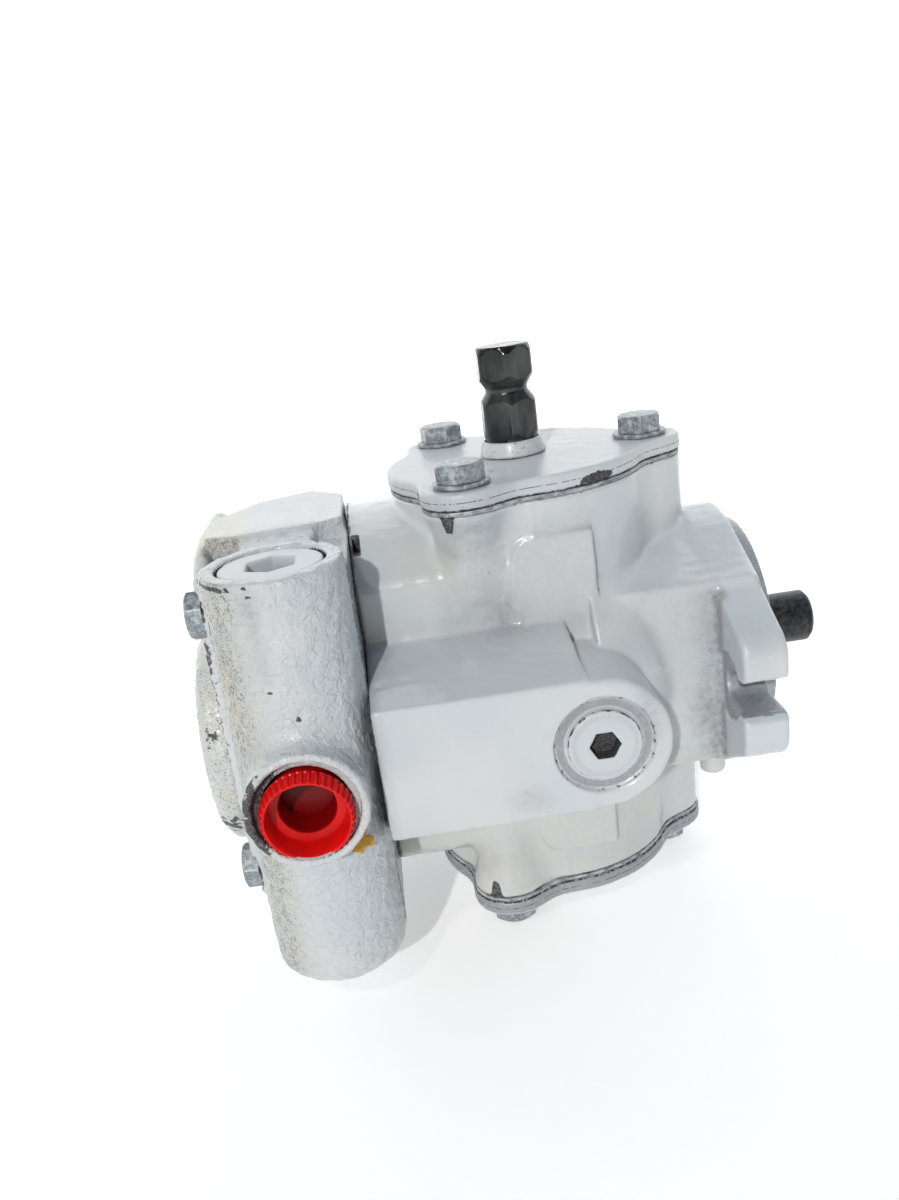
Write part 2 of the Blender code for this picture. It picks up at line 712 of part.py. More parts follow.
def end_cap_gasket():
    """Flat gasket that follows the barrel's outline around the cavity."""
    start = END_CAP_FRONT_X + GAP
    end = JOINT_X - GAP
    body = plate("end_cap_gasket", barrel_outline(), start, end, "+X", material="gasket")
    centre = (0.0, 0.0, 0.0)
    cut(body, rod("gasket_bore", CAVITY_RADIUS, start - MM, end + MM, "+X", centre, 28))
    for i, (y, z) in enumerate(end_bolt_places()):
        hole_radius = END_BOLT_ROOT_RADIUS + GAP
        name = f"gasket_hole_{i}"
        cut(body, rod(name, hole_radius, start - MM, end + MM, "+X", (0.0, y, z), 8))


def end_cap_bolts():
    """Four long bolts whose heads stand on the back of the end cap."""
    for i, (y, z) in enumerate(end_bolt_places()):
        head_base = END_BOLT_SEAT_X - SEAT_GAP
        name = f"end_cap_bolt_{i + 1}"
        head_top = head_base - BOLT_HEAD_HEIGHT
        body = hexagon(name, BOLT_HEAD_FLATS, head_top, head_base, "+X", (0.0, y, z), "zinc")
        start, end = head_base - MM, -39 * MM
        shank_name = f"{name}_shank"
        join(body, rod(shank_name, END_BOLT_ROOT_RADIUS, start, end, "+X", (0.0, y, z), 8))


def valve_plug(name, side):
    """Round plug with a hex socket in the top of a valve cylinder."""
    head_top = cylinder_top(side) - 0.7 * MM
    head_base = head_top - 5.6 * MM
    stem_end = head_top - 20 * MM
    profile = [
        (0.0, head_top),
        (PLUG_HEAD_RADIUS - 0.6 * MM, head_top),
        (PLUG_HEAD_RADIUS, head_top - 0.6 * MM),
        (PLUG_HEAD_RADIUS, head_base),
        (13.2 * MM, head_base),
        (13.2 * MM, stem_end),
        (0.0, stem_end),
    ]
    centre = (CYLINDER_X, side * CYLINDER_Y, 0.0)
    body = turned(name, profile, "+Z", centre, 20, "paint")
    start, end = head_top - 9 * MM, head_top + MM
    cut(body, hexagon(f"{name}_socket", VALVE_SOCKET_FLATS, start, end, "+Z", centre))


def drain_plug():
    """Case drain plug with a hex socket, in the side block's round boss."""
    top = -BLOCK_FACE_Y + 0.7 * MM
    seat = -BLOCK_FACE_Y - 1.1 * MM
    profile = [
        (0.0, top),
        (11.0 * MM, top),
        (11.6 * MM, top - 0.6 * MM),
        (11.6 * MM, seat),
        (9.2 * MM, seat),
        (9.2 * MM, 70 * MM),
        (0.0, 70 * MM),
    ]
    centre = (BOSS_X, 0.0, 0.0)
    body = turned("drain_plug", profile, "-Y", centre, 20, "paint")
    start, end = top - 5.5 * MM, top + MM
    cut(body, hexagon("drain_socket", 8.5 * MM, start, end, "-Y", centre))


def port_cap(name, direction):
    """Hollow plastic cap: a wide outer cup, a ledge and a narrower deep cup."""
    rim, seat = PORT_FACE_Y + 2.8 * MM, PORT_FACE_Y - 2.1 * MM
    ledge, floor = PORT_FACE_Y - 4.5 * MM, PORT_FACE_Y - 13 * MM
    end = PORT_FACE_Y - 15 * MM
    profile = [
        (CAP_HEAD_RADIUS, rim),
        (CAP_HEAD_RADIUS, seat),
        (13.0 * MM, seat),
        (12.6 * MM, end),
        (0.0, end),
    ]
    inner = [(0.0, floor), (7.9 * MM, floor), (8.2 * MM, ledge), (12.0 * MM, ledge)]
    inner += [(12.6 * MM, rim)]
    centre = (CYLINDER_X, 0.0, 0.3 * MM)
    turned(name, profile + inner, direction, centre, 20, "red_plastic", True)


def control_shaft():
    """Hexagonal control shaft with a turned groove; its foot sits in the swashplate's trunnion."""
    lower = hexagon(
        "control_shaft", CONTROL_FLATS, 50.5 * MM, CONTROL_TOP, "+Z", (0, 0, 0), "steel"
    )
    full = CONTROL_FLATS / math.sqrt(3.0) + 0.2 * MM
    edge = CONTROL_FLATS / 2 + 0.1 * MM
    neck = CONTROL_GROOVE_RADIUS
    profile = [
        (0.0, CONTROL_TOP + 0.1 * MM),
        (edge, CONTROL_TOP + 0.1 * MM),
        (full, CONTROL_TOP - 2.2 * MM),
        (full, 103.5 * MM),
        (neck, 100.5 * MM),
        (neck, 98.5 * MM),
        (full, 95.5 * MM),
        (full, 84.5 * MM),
        (CONTROL_ROUND_RADIUS, 82.8 * MM),
        (CONTROL_ROUND_RADIUS, 65 * MM),
        (8.0 * MM, 65 * MM),
        (8.0 * MM, 50.4 * MM),
        (0.0, 50.4 * MM),
    ]
    envelope = turned("control_shaft_envelope", profile, "+Z", (0, 0, 0), 24)
    combine(lower, envelope, "INTERSECT")


def control_shaft_boot():
    base = COVER_TOP + GAP
    profile = [
        (BOOT_RADIUS - 1.2 * MM, base + BOOT_HEIGHT),
        (BOOT_RADIUS, base + 0.5 * MM),
        (BOOT_RADIUS, base),
        (CONTROL_ROUND_RADIUS + 0.35 * MM, base),
        (CONTROL_ROUND_RADIUS + 0.35 * MM, base + BOOT_HEIGHT),
    ]
    turned("control_shaft_boot", profile, "+Z", (0, 0, 0), 20, "paint", True)


def trunnion_bearing(name, direction):
    """Roller bearing around a trunnion, held by its cover's spigot."""
    bore = TRUNNION_RADIUS + 0.4 * MM
    profile = [
        (25.6 * MM, 64.6 * MM),
        (25.6 * MM, 50 * MM),
        (19.5 * MM, 50 * MM),
        (18.5 * MM, 48.8 * MM),
        (bore, 48.8 * MM),
        (bore, 63.6 * MM),
        (17.5 * MM, 63.6 * MM),
        (18.5 * MM, 64.6 * MM),
    ]
    turned(name, profile, direction, (0, 0, 0), 20, "iron", True)


def swashplate():
    """Tilting yoke: a flat running plate with two cheeks and two trunnions."""
    front = SWASH_FACE_X
    back = front + SWASH_THICKNESS
    centre = (0.0, 0.0, 0.0)
    body = rod("swashplate", SWASH_RADIUS, front, back, "+X", centre, 32, "iron")
    cheek_back, cheek_half, cheek_low, cheek_high = 12 * MM, 12 * MM, 36.8 * MM, 47 * MM
    spine_low = (front + 0.3 * MM, -cheek_half - MM, -cheek_high)
    spine_high = (back - 0.3 * MM, cheek_half + MM, cheek_high)
    join(body, box("swash_spine", spine_low, spine_high))
    for side in (1, -1):
        low_z, high_z = sorted((side * cheek_low, side * (cheek_high - 0.2 * MM)))
        low = (-cheek_back, -cheek_half, low_z)
        high = (front + 4 * MM, cheek_half, high_z)
        join(body, box(f"swash_cheek_{side}", low, high))
        start, end = sorted((side * (cheek_high - 2 * MM), side * 64 * MM))
        join(body, rod(f"trunnion_{side}", TRUNNION_RADIUS, start, end, "+Z", centre, 20))
    cut(body, rod("swash_bore", 17 * MM, front - MM, back + MM, "+X", centre, 24))
    cut(body, rod("control_socket", 8.6 * MM, 50 * MM, 66 * MM, "+Z", centre, 16))


def input_shaft():
    """One shaft through the whole pump, stepped down for the charge rotor."""
    chamfer = 1.5 * MM
    collar = 12.5 * MM
    profile = [
        (0.0, SHAFT_END_X),
        (SHAFT_RADIUS - chamfer, SHAFT_END_X),
        (SHAFT_RADIUS, SHAFT_END_X - chamfer),
        (SHAFT_RADIUS, 31.6 * MM),
        (collar, 31.6 * MM),
        (collar, 27.8 * MM),
        (SHAFT_RADIUS, 27.8 * MM),
        (SHAFT_RADIUS, -96 * MM),
        (6.5 * MM, -98 * MM),
        (6.5 * MM, -120 * MM),
        (0.0, -120 * MM),
    ]
    turned("input_shaft", profile, "+X", (0, 0, 0), 20, "dark_steel")


def simple_ring(name, inner, outer, start, end, material, sides=20):
    """Plain ring on the shaft axis."""
    profile = [(outer, end), (outer, start), (inner, start), (inner, end)]
    turned(name, profile, "+X", (0, 0, 0), sides, material, True)


def shaft_rings():
    bore = SHAFT_RADIUS + 0.4 * MM
    simple_ring("front_bearing", bore, FRONT_BEARING_RADIUS, 32 * MM, 50 * MM, "iron")
    seal_start = FACE_X - 7.2 * MM
    simple_ring("input_shaft_seal", bore, SEAL_RADIUS, seal_start, FACE_X + MM, "rubber")
    simple_ring("rear_bearing", bore, 14.0 * MM, -76 * MM, -61.5 * MM, "iron")


def cylinder_block():
    """Rotating block with seven bores, each with a port to the valve plate."""
    centre = (0.0, 0.0, 0.0)
    body = rod("cylinder_block", BLOCK_RADIUS, BLOCK_REAR_X, BLOCK_FRONT_X, "+X", centre, 35, "steel")
    bore_floor = -50 * MM
    past_front = BLOCK_FRONT_X + MM
    past_rear = BLOCK_REAR_X - MM
    cut(body, rod("block_shaft_bore", SHAFT_RADIUS + 0.4 * MM, past_rear, past_front, "+X", centre, 20))
    cut(body, rod("spring_pocket", 15.2 * MM, -42 * MM, past_front, "+X", centre, 24))
    for i, (y, z) in enumerate(piston_places()):
        place_at = (0.0, y, z)
        bore_radius = PISTON_RADIUS + 0.35 * MM
        bore_name = f"piston_bore_{i}"
        cut(body, rod(bore_name, bore_radius, bore_floor, past_front, "+X", place_at, 10, skew=0.5))
        port_radius = 3.2 * MM
        cut(body, rod(f"block_port_{i}", port_radius, past_rear, bore_floor + MM, "+X", place_at, 6))


def piston_profile():
    """Ball, neck and hollow skirt, about the ball's centre."""
    ball = arc((0.0, 0.0), BALL_RADIUS, 90.0, -50.0, 5)
    skirt_top, skirt_end, hollow = -9.5 * MM, -40.0 * MM, -20.0 * MM
    profile = [(0.0, BALL_RADIUS)] + ball[1:]
    profile += [(3.0 * MM, skirt_top), (PISTON_RADIUS, skirt_top), (PISTON_RADIUS, skirt_end)]
    profile += [(4.2 * MM, skirt_end), (4.2 * MM, hollow), (0.0, hollow)]
    return profile


def pistons():
    for i, (y, z) in enumerate(piston_places()):
        turned(f"piston_{i + 1}", piston_profile(), "+X", (0.0, y, z), 10, "steel")


def slipper_profile():
    """Shoe with a flat sole and a socket that wraps past the ball's middle."""
    socket = BALL_RADIUS + 0.4 * MM
    mouth, sole = -2.6 * MM, 6.2 * MM
    open_turn = math.degrees(math.asin(mouth / socket))
    profile = [(0.0, sole), (SLIPPER_SOLE_RADIUS, sole), (SLIPPER_SOLE_RADIUS, 4.0 * MM)]
    profile += [(SLIPPER_NECK_RADIUS, 3.6 * MM), (SLIPPER_NECK_RADIUS, mouth)]
    profile += arc((0.0, 0.0), socket, open_turn, 90.0, 4)[:-1]
    return profile + [(0.0, socket)]


def slippers():
    for i, (y, z) in enumerate(piston_places()):
        turned(f"slipper_{i + 1}", slipper_profile(), "+X", (0.0, y, z), 10, "bronze")


def slipper_retainer():
    """Plate that holds the seven slippers down on the swashplate."""
    start, end = 1.3 * MM, 3.2 * MM
    body = rod("slipper_retainer", 34.2 * MM, start, end, "+X", (0, 0, 0), 28, "steel")
    cut(body, rod("retainer_bore", 15.4 * MM, start - MM, end + MM, "+X", (0, 0, 0), 20))
    for i, (y, z) in enumerate(piston_places()):
        name = f"retainer_hole_{i}"
        cut(body, rod(name, 7.6 * MM, start - MM, end + MM, "+X", (0.0, y, z), 12))


def retainer_guide():
    """Ball guide on the shaft: the retainer tilts about its round shoulder."""
    radius, nose, back, collar_end = 14.6 * MM, 5.0 * MM, -9.5 * MM, -15.5 * MM
    bore = SHAFT_RADIUS + 0.35 * MM
    first = math.degrees(math.asin(nose / radius))
    last = math.degrees(math.asin(back / radius))
    profile = arc((0.0, 0.0), radius, first, last, 4)
    profile += [(profile[-1][0], collar_end), (bore, collar_end), (bore, nose)]
    turned("retainer_guide", profile, "+X", (0, 0, 0), 20, "steel", True)


def block_spring():
    """Coil around the shaft that presses the guide forward and the block back."""
    coil_radius, wire_radius = 12.7 * MM, 1.2 * MM
    start, end, coils, per_coil = -39.8 * MM, -18.4 * MM, 3, 8
    curve = bpy.data.curves.new("block_spring", "CURVE")
    curve.dimensions = "3D"
    curve.bevel_depth = wire_radius
    curve.bevel_resolution = 2
    curve.use_fill_caps = True
    count = coils * per_coil + 1
    spline = curve.splines.new("POLY")
    spline.points.add(count - 1)
    for i, point in enumerate(spline.points):
        turn = 2 * math.pi * i / per_coil
        along = start + (end - start) * i / (count - 1)
        point.co = (along, coil_radius * math.cos(turn), coil_radius * math.sin(turn), 1.0)
    item = bpy.data.objects.new("block_spring", curve)
    item.parent = FRAME
    curve.materials.append(MATERIALS["steel"])
    PARTS.objects.link(item)


def valve_plate():
    """Port plate with two kidney slots, pinned to the end cap."""
    start = END_CAP_FRONT_X + GAP
    end = start + VALVE_PLATE_THICKNESS - GAP
    body = rod("valve_plate", 33.5 * MM, start, end, "+X", (0, 0, 0), 28, "bronze")
    cut(body, rod("valve_plate_bore", 12.5 * MM, start - MM, end + MM, "+X", (0, 0, 0), 20))
    for side in (-1, 1):
        first = 90.0 - 60.0 if side > 0 else 270.0 - 60.0
        slot = kidney_outline(first, first + 120.0, 21.5 * MM, 27.5 * MM)
        slot = [(v, u) for u, v in reversed(slot)]
        cut(body, plate(f"valve_kidney_{side}", slot, start - MM, end + MM, "+X"))


def rotor_profile(turn, lobe_radius):
    """Point of the inner rotor's edge, which rolls inside the outer rotor's round lobes."""
    ratio = LOBE_CIRCLE / (ECCENTRICITY * OUTER_LOBES)
    phase = (1 - OUTER_LOBES) * turn
    lean = math.atan2(math.sin(phase), ratio - math.cos(phase))
    across = LOBE_CIRCLE * math.cos(turn) - lobe_radius * math.cos(turn + lean)
    across -= ECCENTRICITY * math.cos(OUTER_LOBES * turn)
    up = -LOBE_CIRCLE * math.sin(turn) + lobe_radius * math.sin(turn + lean)
    up += ECCENTRICITY * math.sin(OUTER_LOBES * turn)
    return across, up


def charge_inner_rotor():
    """Six-lobed rotor driven by the shaft."""
    steps = (OUTER_LOBES - 1) * 8
    turns = [-2 * math.pi * i / steps for i in range(steps)]
    outline = [rotor_profile(turn, LOBE_RADIUS + ROTOR_CLEARANCE) for turn in turns]
    start, end = ROTOR_FRONT_X - ROTOR_THICKNESS, ROTOR_FRONT_X
    body = plate("charge_inner_rotor", outline, start, end, "+X", material="steel")
    cut(body, rod("inner_rotor_bore", 6.9 * MM, start - MM, end + MM, "+X", (0, 0, 0), 16))


def charge_outer_rotor():
    """Ring with seven round inner lobes, its centre beside the shaft axis."""
    start, end = ROTOR_FRONT_X - ROTOR_THICKNESS, ROTOR_FRONT_X
    centre = (0.0, -ECCENTRICITY, 0.0)
    body = rod("charge_outer_rotor", OUTER_ROTOR_RADIUS, start, end, "+X", centre, 28, "iron")
    root_radius = LOBE_CIRCLE - 0.4 * MM + GAP
    cut(body, rod("outer_rotor_bore", root_radius, start - MM, end + MM, "+X", centre, 28))
    for i in range(OUTER_LOBES):
        turn = 2 * math.pi * i / OUTER_LOBES
        y = -ECCENTRICITY + LOBE_CIRCLE * math.cos(turn)
        z = LOBE_CIRCLE * math.sin(turn)
        lobe_start, lobe_end = start + 0.2 * MM, end - 0.2 * MM
        lobe = rod(f"outer_lobe_{i}", LOBE_RADIUS, lobe_start, lobe_end, "+X", (0.0, y, z), 12)
        join(body, lobe)


def charge_pump_cover():
    """Round cover that houses the charge rotors behind the end cap."""
    front, rear, round_off = END_CAP_REAR_X - GAP, CHARGE_COVER_REAR_X, 6 * MM
    outer = CHARGE_COVER_RADIUS
    pocket_floor = ROTOR_FRONT_X - ROTOR_THICKNESS - 0.4 * MM
    profile = [(0.0, front), (outer, front)]
    profile += arc((outer - round_off, rear + round_off), round_off, 0.0, -90.0, 3)
    profile += [(0.0, rear)]
    centre = (0.0, 0.0, CHARGE_COVER_Z)
    body = turned("charge_pump_cover", profile, "+X", centre, 32, "paint")
    pocket_centre = (0.0, -ECCENTRICITY, 0.0)
    pocket_radius = OUTER_ROTOR_RADIUS + 0.5 * MM
    cut(body, rod("rotor_pocket", pocket_radius, pocket_floor, front + MM, "+X", pocket_centre, 24))


housing()
end_cap()
end_cap_gasket()
end_cap_bolts()
trunnion_cover("upper_trunnion_cover", 1)
trunnion_cover("lower_trunnion_cover", -1)
cover_shim("upper_cover_shim", 1)
cover_shim("lower_cover_shim", -1)
cover_fasteners()
control_shaft()
control_shaft_boot()
trunnion_bearing("upper_trunnion_bearing", "+Z")
trunnion_bearing("lower_trunnion_bearing", "-Z")
swashplate()
input_shaft()
shaft_rings()
cylinder_block()
pistons()
slippers()
slipper_retainer()
retainer_guide()
block_spring()
valve_plate()
charge_inner_rotor()
charge_outer_rotor()
charge_pump_cover()
valve_plug("front_valve_plug", -1)
valve_plug("rear_valve_plug", 1)
drain_plug()
port_cap("front_port_cap", "-Y")
port_cap("rear_port_cap", "+Y")
weld_cut_edges()
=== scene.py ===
"""Looks for the axial piston pump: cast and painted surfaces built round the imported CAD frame.

Shapes are worked out in millimetres in the trunnion frame, whose origin is where the control
shaft's axis crosses the input shaft's axis; piece() carries them to the row frame. The castings
are distance fields, because that gives them the fillets and soft edges that sand castings have.
"""

import math

import bmesh
import bpy
import numpy as np
from mathutils import Matrix, Vector


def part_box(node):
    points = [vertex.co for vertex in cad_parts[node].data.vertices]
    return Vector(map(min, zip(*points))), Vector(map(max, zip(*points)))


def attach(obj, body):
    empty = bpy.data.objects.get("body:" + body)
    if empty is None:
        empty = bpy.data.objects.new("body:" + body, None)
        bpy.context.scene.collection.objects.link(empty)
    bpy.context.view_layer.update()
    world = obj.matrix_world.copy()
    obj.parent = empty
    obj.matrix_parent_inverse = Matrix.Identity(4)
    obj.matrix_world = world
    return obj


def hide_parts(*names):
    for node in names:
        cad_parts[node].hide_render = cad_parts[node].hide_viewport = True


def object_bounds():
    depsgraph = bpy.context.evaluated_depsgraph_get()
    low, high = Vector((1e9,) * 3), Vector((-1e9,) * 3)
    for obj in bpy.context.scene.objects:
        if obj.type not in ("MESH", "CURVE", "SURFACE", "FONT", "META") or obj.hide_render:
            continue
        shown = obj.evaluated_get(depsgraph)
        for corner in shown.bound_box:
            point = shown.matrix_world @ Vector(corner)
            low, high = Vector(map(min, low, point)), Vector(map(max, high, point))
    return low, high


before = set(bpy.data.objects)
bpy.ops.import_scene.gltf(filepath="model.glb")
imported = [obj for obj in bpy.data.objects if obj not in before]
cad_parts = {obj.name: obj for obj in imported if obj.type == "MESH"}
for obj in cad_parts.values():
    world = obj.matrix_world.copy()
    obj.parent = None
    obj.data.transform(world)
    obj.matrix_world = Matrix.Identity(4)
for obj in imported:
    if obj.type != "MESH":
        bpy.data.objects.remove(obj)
CAD_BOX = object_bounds()

MM = 0.001
CASTING_STEP = 0.9
FINE_STEP = 0.4

# Where the CAD puts things
SHAFT_LOW, SHAFT_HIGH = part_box("control_shaft")
TRUNNION_X = (SHAFT_LOW.x + SHAFT_HIGH.x) / 2 / MM
CONTROL_TOP = SHAFT_HIGH.z / MM
CONTROL_FLATS = 18.2

# Housing casting
JOINT_X = -59.7
PAINT_EDGE_X = -61.0
BARREL_RADIUS = 66.5
BARREL_HALF_WIDTH = 45.0
BARREL_FRONT_X = 17.0
BULB_RADIUS = 60.0
NECK_TOP = 69.5
BLOCK_FACE_Y = -82.8
BOSS_X = 8.4
BOSS_RADIUS = 21.45
FACE_X = 71.3
FLANGE_REAR_X = 56.5
FLANGE_RADIUS = 48.0
FLANGE_REACH = 69.8
FLANGE_CORNER = 9.0
FLANGE_CORNER_Z = 13.4
FLANGE_BOLT_Y = 53.2
SLOT_HALF = 5.55
PILOT_RADIUS = 41.275

# Trunnion covers and their bolts
COVER_LOW = 71.2
COVER_TOP = 76.8
DISC_RADIUS = 45.0
EAR_RADIUS = 13.7
EAR_FILLET = 10.0
NOTCH = [(-31.1, 71.0), (-26.5, 71.0), (-27.7, 64.2), (-29.3, 64.2)]
BOLT_TURNS = (0.0, 119.5, -119.5)
COLUMN_FOOT_RADIUS = 4.8
COLUMN_FOOT_Z = 42.0
COLUMN_TAPER = 0.315
BOLT_FLATS = 14.3
BOLT_CORNERS = (-102.5, -80.0, -110.0, -75.0, -95.0, -87.5)
WASHER_RADIUS = 9.3

# End cap
CAP_FRONT_X = -61.0
CAP_REAR_X = -112.0
CYLINDER_X = -83.2
CYLINDER_Y = 67.3
CYLINDER_RADIUS = 21.6
FRONT_TOP = 68.7
REAR_TOP = 49.0
PORT_Z = 0.3
PORT_FACE_Y = 96.9
END_BOLTS = [(y * 39.5, z * 47.2) for y in (-1, 1) for z in (-1, 1)]
CHARGE_Z = -12.0


# ---------------------------------------------------------------- distance fields


class Grid:
    """Sample points of a box of space, as three arrays that broadcast together."""

    def __init__(self, low, high, step):
        self.low = np.array(low, float) - 2 * step
        self.step = step
        counts = [int(math.ceil((h - l) / step)) + 5 for l, h in zip(low, high)]
        axes = [self.low[i] + step * np.arange(counts[i]) for i in range(3)]
        self.x = axes[0].astype(np.float32)[:, None, None]
        self.y = axes[1].astype(np.float32)[None, :, None]
        self.z = axes[2].astype(np.float32)[None, None, :]


def merge(a, b, fillet):
    """Union with a concave fillet."""
    h = np.clip(0.5 + 0.5 * (b - a) / fillet, 0.0, 1.0)
    return b * (1 - h) + a * h - fillet * h * (1 - h)


def common(a, b, round_off):
    """Intersection with a rounded edge."""
    return -merge(-a, -b, round_off)


def remove(a, b, round_off=0.6):
    """Take b out of a, its edge slightly broken."""
    return -merge(-a, b, round_off)


def extruded(flat, along, low, high, edge):
    """Flat shape swept along an axis, with rounded rims."""
    a = flat + edge
    b = np.abs(along - (low + high) / 2) - (high - low) / 2 + edge
    outside = np.sqrt(np.maximum(a, 0.0) ** 2 + np.maximum(b, 0.0) ** 2)
    return outside + np.minimum(np.maximum(a, b), 0.0) - edge


def rod(u, v, w, centre, radius, low, high, edge):
    return extruded(np.hypot(u - centre[0], v - centre[1]) - radius, w, low, high, edge)


def block(g, low, high, edge):
    """Box with rounded edges."""
    parts = []
    for axis, l, h in zip((g.x, g.y, g.z), low, high):
        parts.append(np.abs(axis - (l + h) / 2) - (h - l) / 2 + edge)
    outside = np.sqrt(sum(np.maximum(p, 0.0) ** 2 for p in parts))
    inside = np.minimum(np.maximum(np.maximum(parts[0], parts[1]), parts[2]), 0.0)
    return outside + inside - edge


def polygon(u, v, outline):
    """Signed distance to a closed outline."""
    best = np.full(np.broadcast(u, v).shape, 1e9, np.float32)
    inside = np.zeros(best.shape, bool)
    for (ax, ay), (bx, by) in zip(outline, outline[1:] + outline[:1]):
        ex, ey = bx - ax, by - ay
        wx, wy = u - ax, v - ay
        t = np.clip((wx * ex + wy * ey) / (ex * ex + ey * ey), 0.0, 1.0)
        best = np.minimum(best, (wx - ex * t) ** 2 + (wy - ey * t) ** 2)
        above = (v >= ay) != (v >= by)
        across = ex * (v - ay) / (ey if abs(ey) > 1e-9 else 1e-9) + ax
        inside ^= above & (u < across)
    return np.where(inside, -1.0, 1.0).astype(np.float32) * np.sqrt(best)


def hexagon(u, v, flats, turn=0.0):
    """Signed distance to a hexagon, its flats the given distance apart."""
    best = None
    for i in range(3):
        a = math.radians(60 * i + turn)
        d = np.abs(u * math.cos(a) + v * math.sin(a)) - flats / 2
        best = d if best is None else np.maximum(best, d)
    return best


CORNERS = np.array([(i, j, k) for i in (0, 1) for j in (0, 1) for k in (0, 1)])


def sampled(field, g, points):
    """Field values between the samples."""
    place = (points - g.low) / g.step
    cell = np.clip(np.floor(place).astype(int), 0, np.array(field.shape) - 2)
    share = place - cell
    total = 0.0
    for corner in CORNERS:
        weight = np.prod(np.where(corner, share, 1 - share), axis=1)
        total = total + weight * field[tuple((cell + corner).T)]
    return total


def settled(points, field, g):
    """Points moved along the field's slope onto its zero surface."""
    slope = np.zeros_like(points)
    for axis in range(3):
        reach = np.zeros(3)
        reach[axis] = 0.7 * g.step
        slope[:, axis] = sampled(field, g, points + reach) - sampled(field, g, points - reach)
    slope /= 1.4 * g.step
    steep = np.maximum((slope**2).sum(1), 0.25)
    move = -(sampled(field, g, points) / steep)[:, None] * slope
    return points + np.clip(move, -0.35 * g.step, 0.35 * g.step)


def surface(field, g):
    """Points and quads of the zero surface of a field (surface nets)."""
    inside = field < 0
    shape = np.array(field.shape) - 1
    count = np.zeros(shape, np.int8)
    for i, j, k in CORNERS:
        count += inside[i : i + shape[0], j : j + shape[1], k : k + shape[2]]
    cells = np.argwhere((count > 0) & (count < 8))
    lookup = np.full(shape, -1, np.int32)
    lookup[tuple(cells.T)] = np.arange(len(cells))
    values = [field[tuple((cells + c).T)] for c in CORNERS]
    total = np.zeros((len(cells), 3))
    hits = np.zeros(len(cells))
    for a in range(8):
        for b in range(a + 1, 8):
            if np.abs(CORNERS[a] - CORNERS[b]).sum() != 1:
                continue
            cross = (values[a] < 0) != (values[b] < 0)
            t = values[a] / np.where(cross, values[a] - values[b], 1.0)
            point = CORNERS[a] + t[:, None] * (CORNERS[b] - CORNERS[a])
            total[cross] += point[cross]
            hits[cross] += 1
    points = g.low + g.step * (cells + total / hits[:, None])
    for _ in range(2):
        points = settled(points, field, g)
    quads = []
    for axis in range(3):
        u, v = (axis + 1) % 3, (axis + 2) % 3
        one = [slice(1, -1)] * 3
        two = [slice(1, -1)] * 3
        one[axis], two[axis] = slice(0, -1), slice(1, None)
        start = inside[tuple(one)]
        edges = np.argwhere(start != inside[tuple(two)])
        falling = start[tuple(edges.T)]
        base = edges.copy()
        base[:, u] += 1
        base[:, v] += 1
        ring = []
        for du, dv in ((-1, -1), (0, -1), (0, 0), (-1, 0)):
            cell = base.copy()
            cell[:, u] += du
            cell[:, v] += dv
            ring.append(lookup[tuple(cell.T)])
        quad = np.stack(ring, 1)
        quad[~falling] = quad[~falling][:, ::-1]
        quads.append(quad)
    return points, np.concatenate(quads)


# ---------------------------------------------------------------- meshes and pieces


def ripple(points, wavelength, seed, waves=40):
    """Smooth noise of about unit height at the given points."""
    source = np.random.default_rng(seed)
    direction = source.normal(size=(waves, 3))
    direction /= np.linalg.norm(direction, axis=1)[:, None]
    scale = source.uniform(0.7, 1.5, waves) * 2 * math.pi / wavelength
    phase = source.uniform(0, 2 * math.pi, waves)
    total = np.zeros(len(points))
    for d, s, p in zip(direction, scale, phase):
        total += np.cos(points @ d * s + p)
    return total / math.sqrt(waves / 2)


def normals_of(points, quads):
    """Outward unit normals at the points."""
    normal = np.zeros_like(points)
    a = points[quads[:, 2]] - points[quads[:, 0]]
    b = points[quads[:, 3]] - points[quads[:, 1]]
    face = np.cross(a, b)
    for i in range(4):
        np.add.at(normal, quads[:, i], face)
    return normal / np.maximum(np.linalg.norm(normal, axis=1), 1e-9)[:, None]


def piece(name, points, faces, body, material, stands_for=(), masks=None, sharp=None):
    """Mesh object from points in the trunnion frame, riding on a body."""
    mesh = bpy.data.meshes.new(name)
    placed = (np.array(points, float) + (TRUNNION_X, 0.0, 0.0)) * MM
    mesh.from_pydata(placed.tolist(), [], [list(map(int, f)) for f in faces])
    mesh.polygons.foreach_set("use_smooth", [True] * len(mesh.polygons))
    if sharp is not None:
        mesh.set_sharp_from_angle(angle=math.radians(sharp))
    for key, values in (masks or {}).items():
        attribute = mesh.attributes.new(key, "FLOAT", "POINT")
        attribute.data.foreach_set("value", np.clip(values, 0, 1).astype(np.float32))
    mesh.materials.append(MATERIALS[material])
    item = bpy.data.objects.new(name, mesh)
    bpy.context.scene.collection.objects.link(item)
    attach(item, body)
    if stands_for:
        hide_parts(*stands_for)
    return item


AXES = {
    "+Z": np.array(((1, 0, 0), (0, 1, 0), (0, 0, 1))),
    "-Z": np.array(((1, 0, 0), (0, -1, 0), (0, 0, -1))),
    "+X": np.array(((0, 1, 0), (0, 0, 1), (1, 0, 0))),
    "-X": np.array(((0, -1, 0), (0, 0, 1), (-1, 0, 0))),
    "+Y": np.array(((0, 0, 1), (1, 0, 0), (0, 1, 0))),
    "-Y": np.array(((0, 0, 1), (-1, 0, 0), (0, -1, 0))),
}


def aimed(points, direction, centre):
    """Turn points modelled along local Z to a direction, and move them to a centre."""
    return np.array(points, float) @ AXES[direction] + np.array(centre, float)


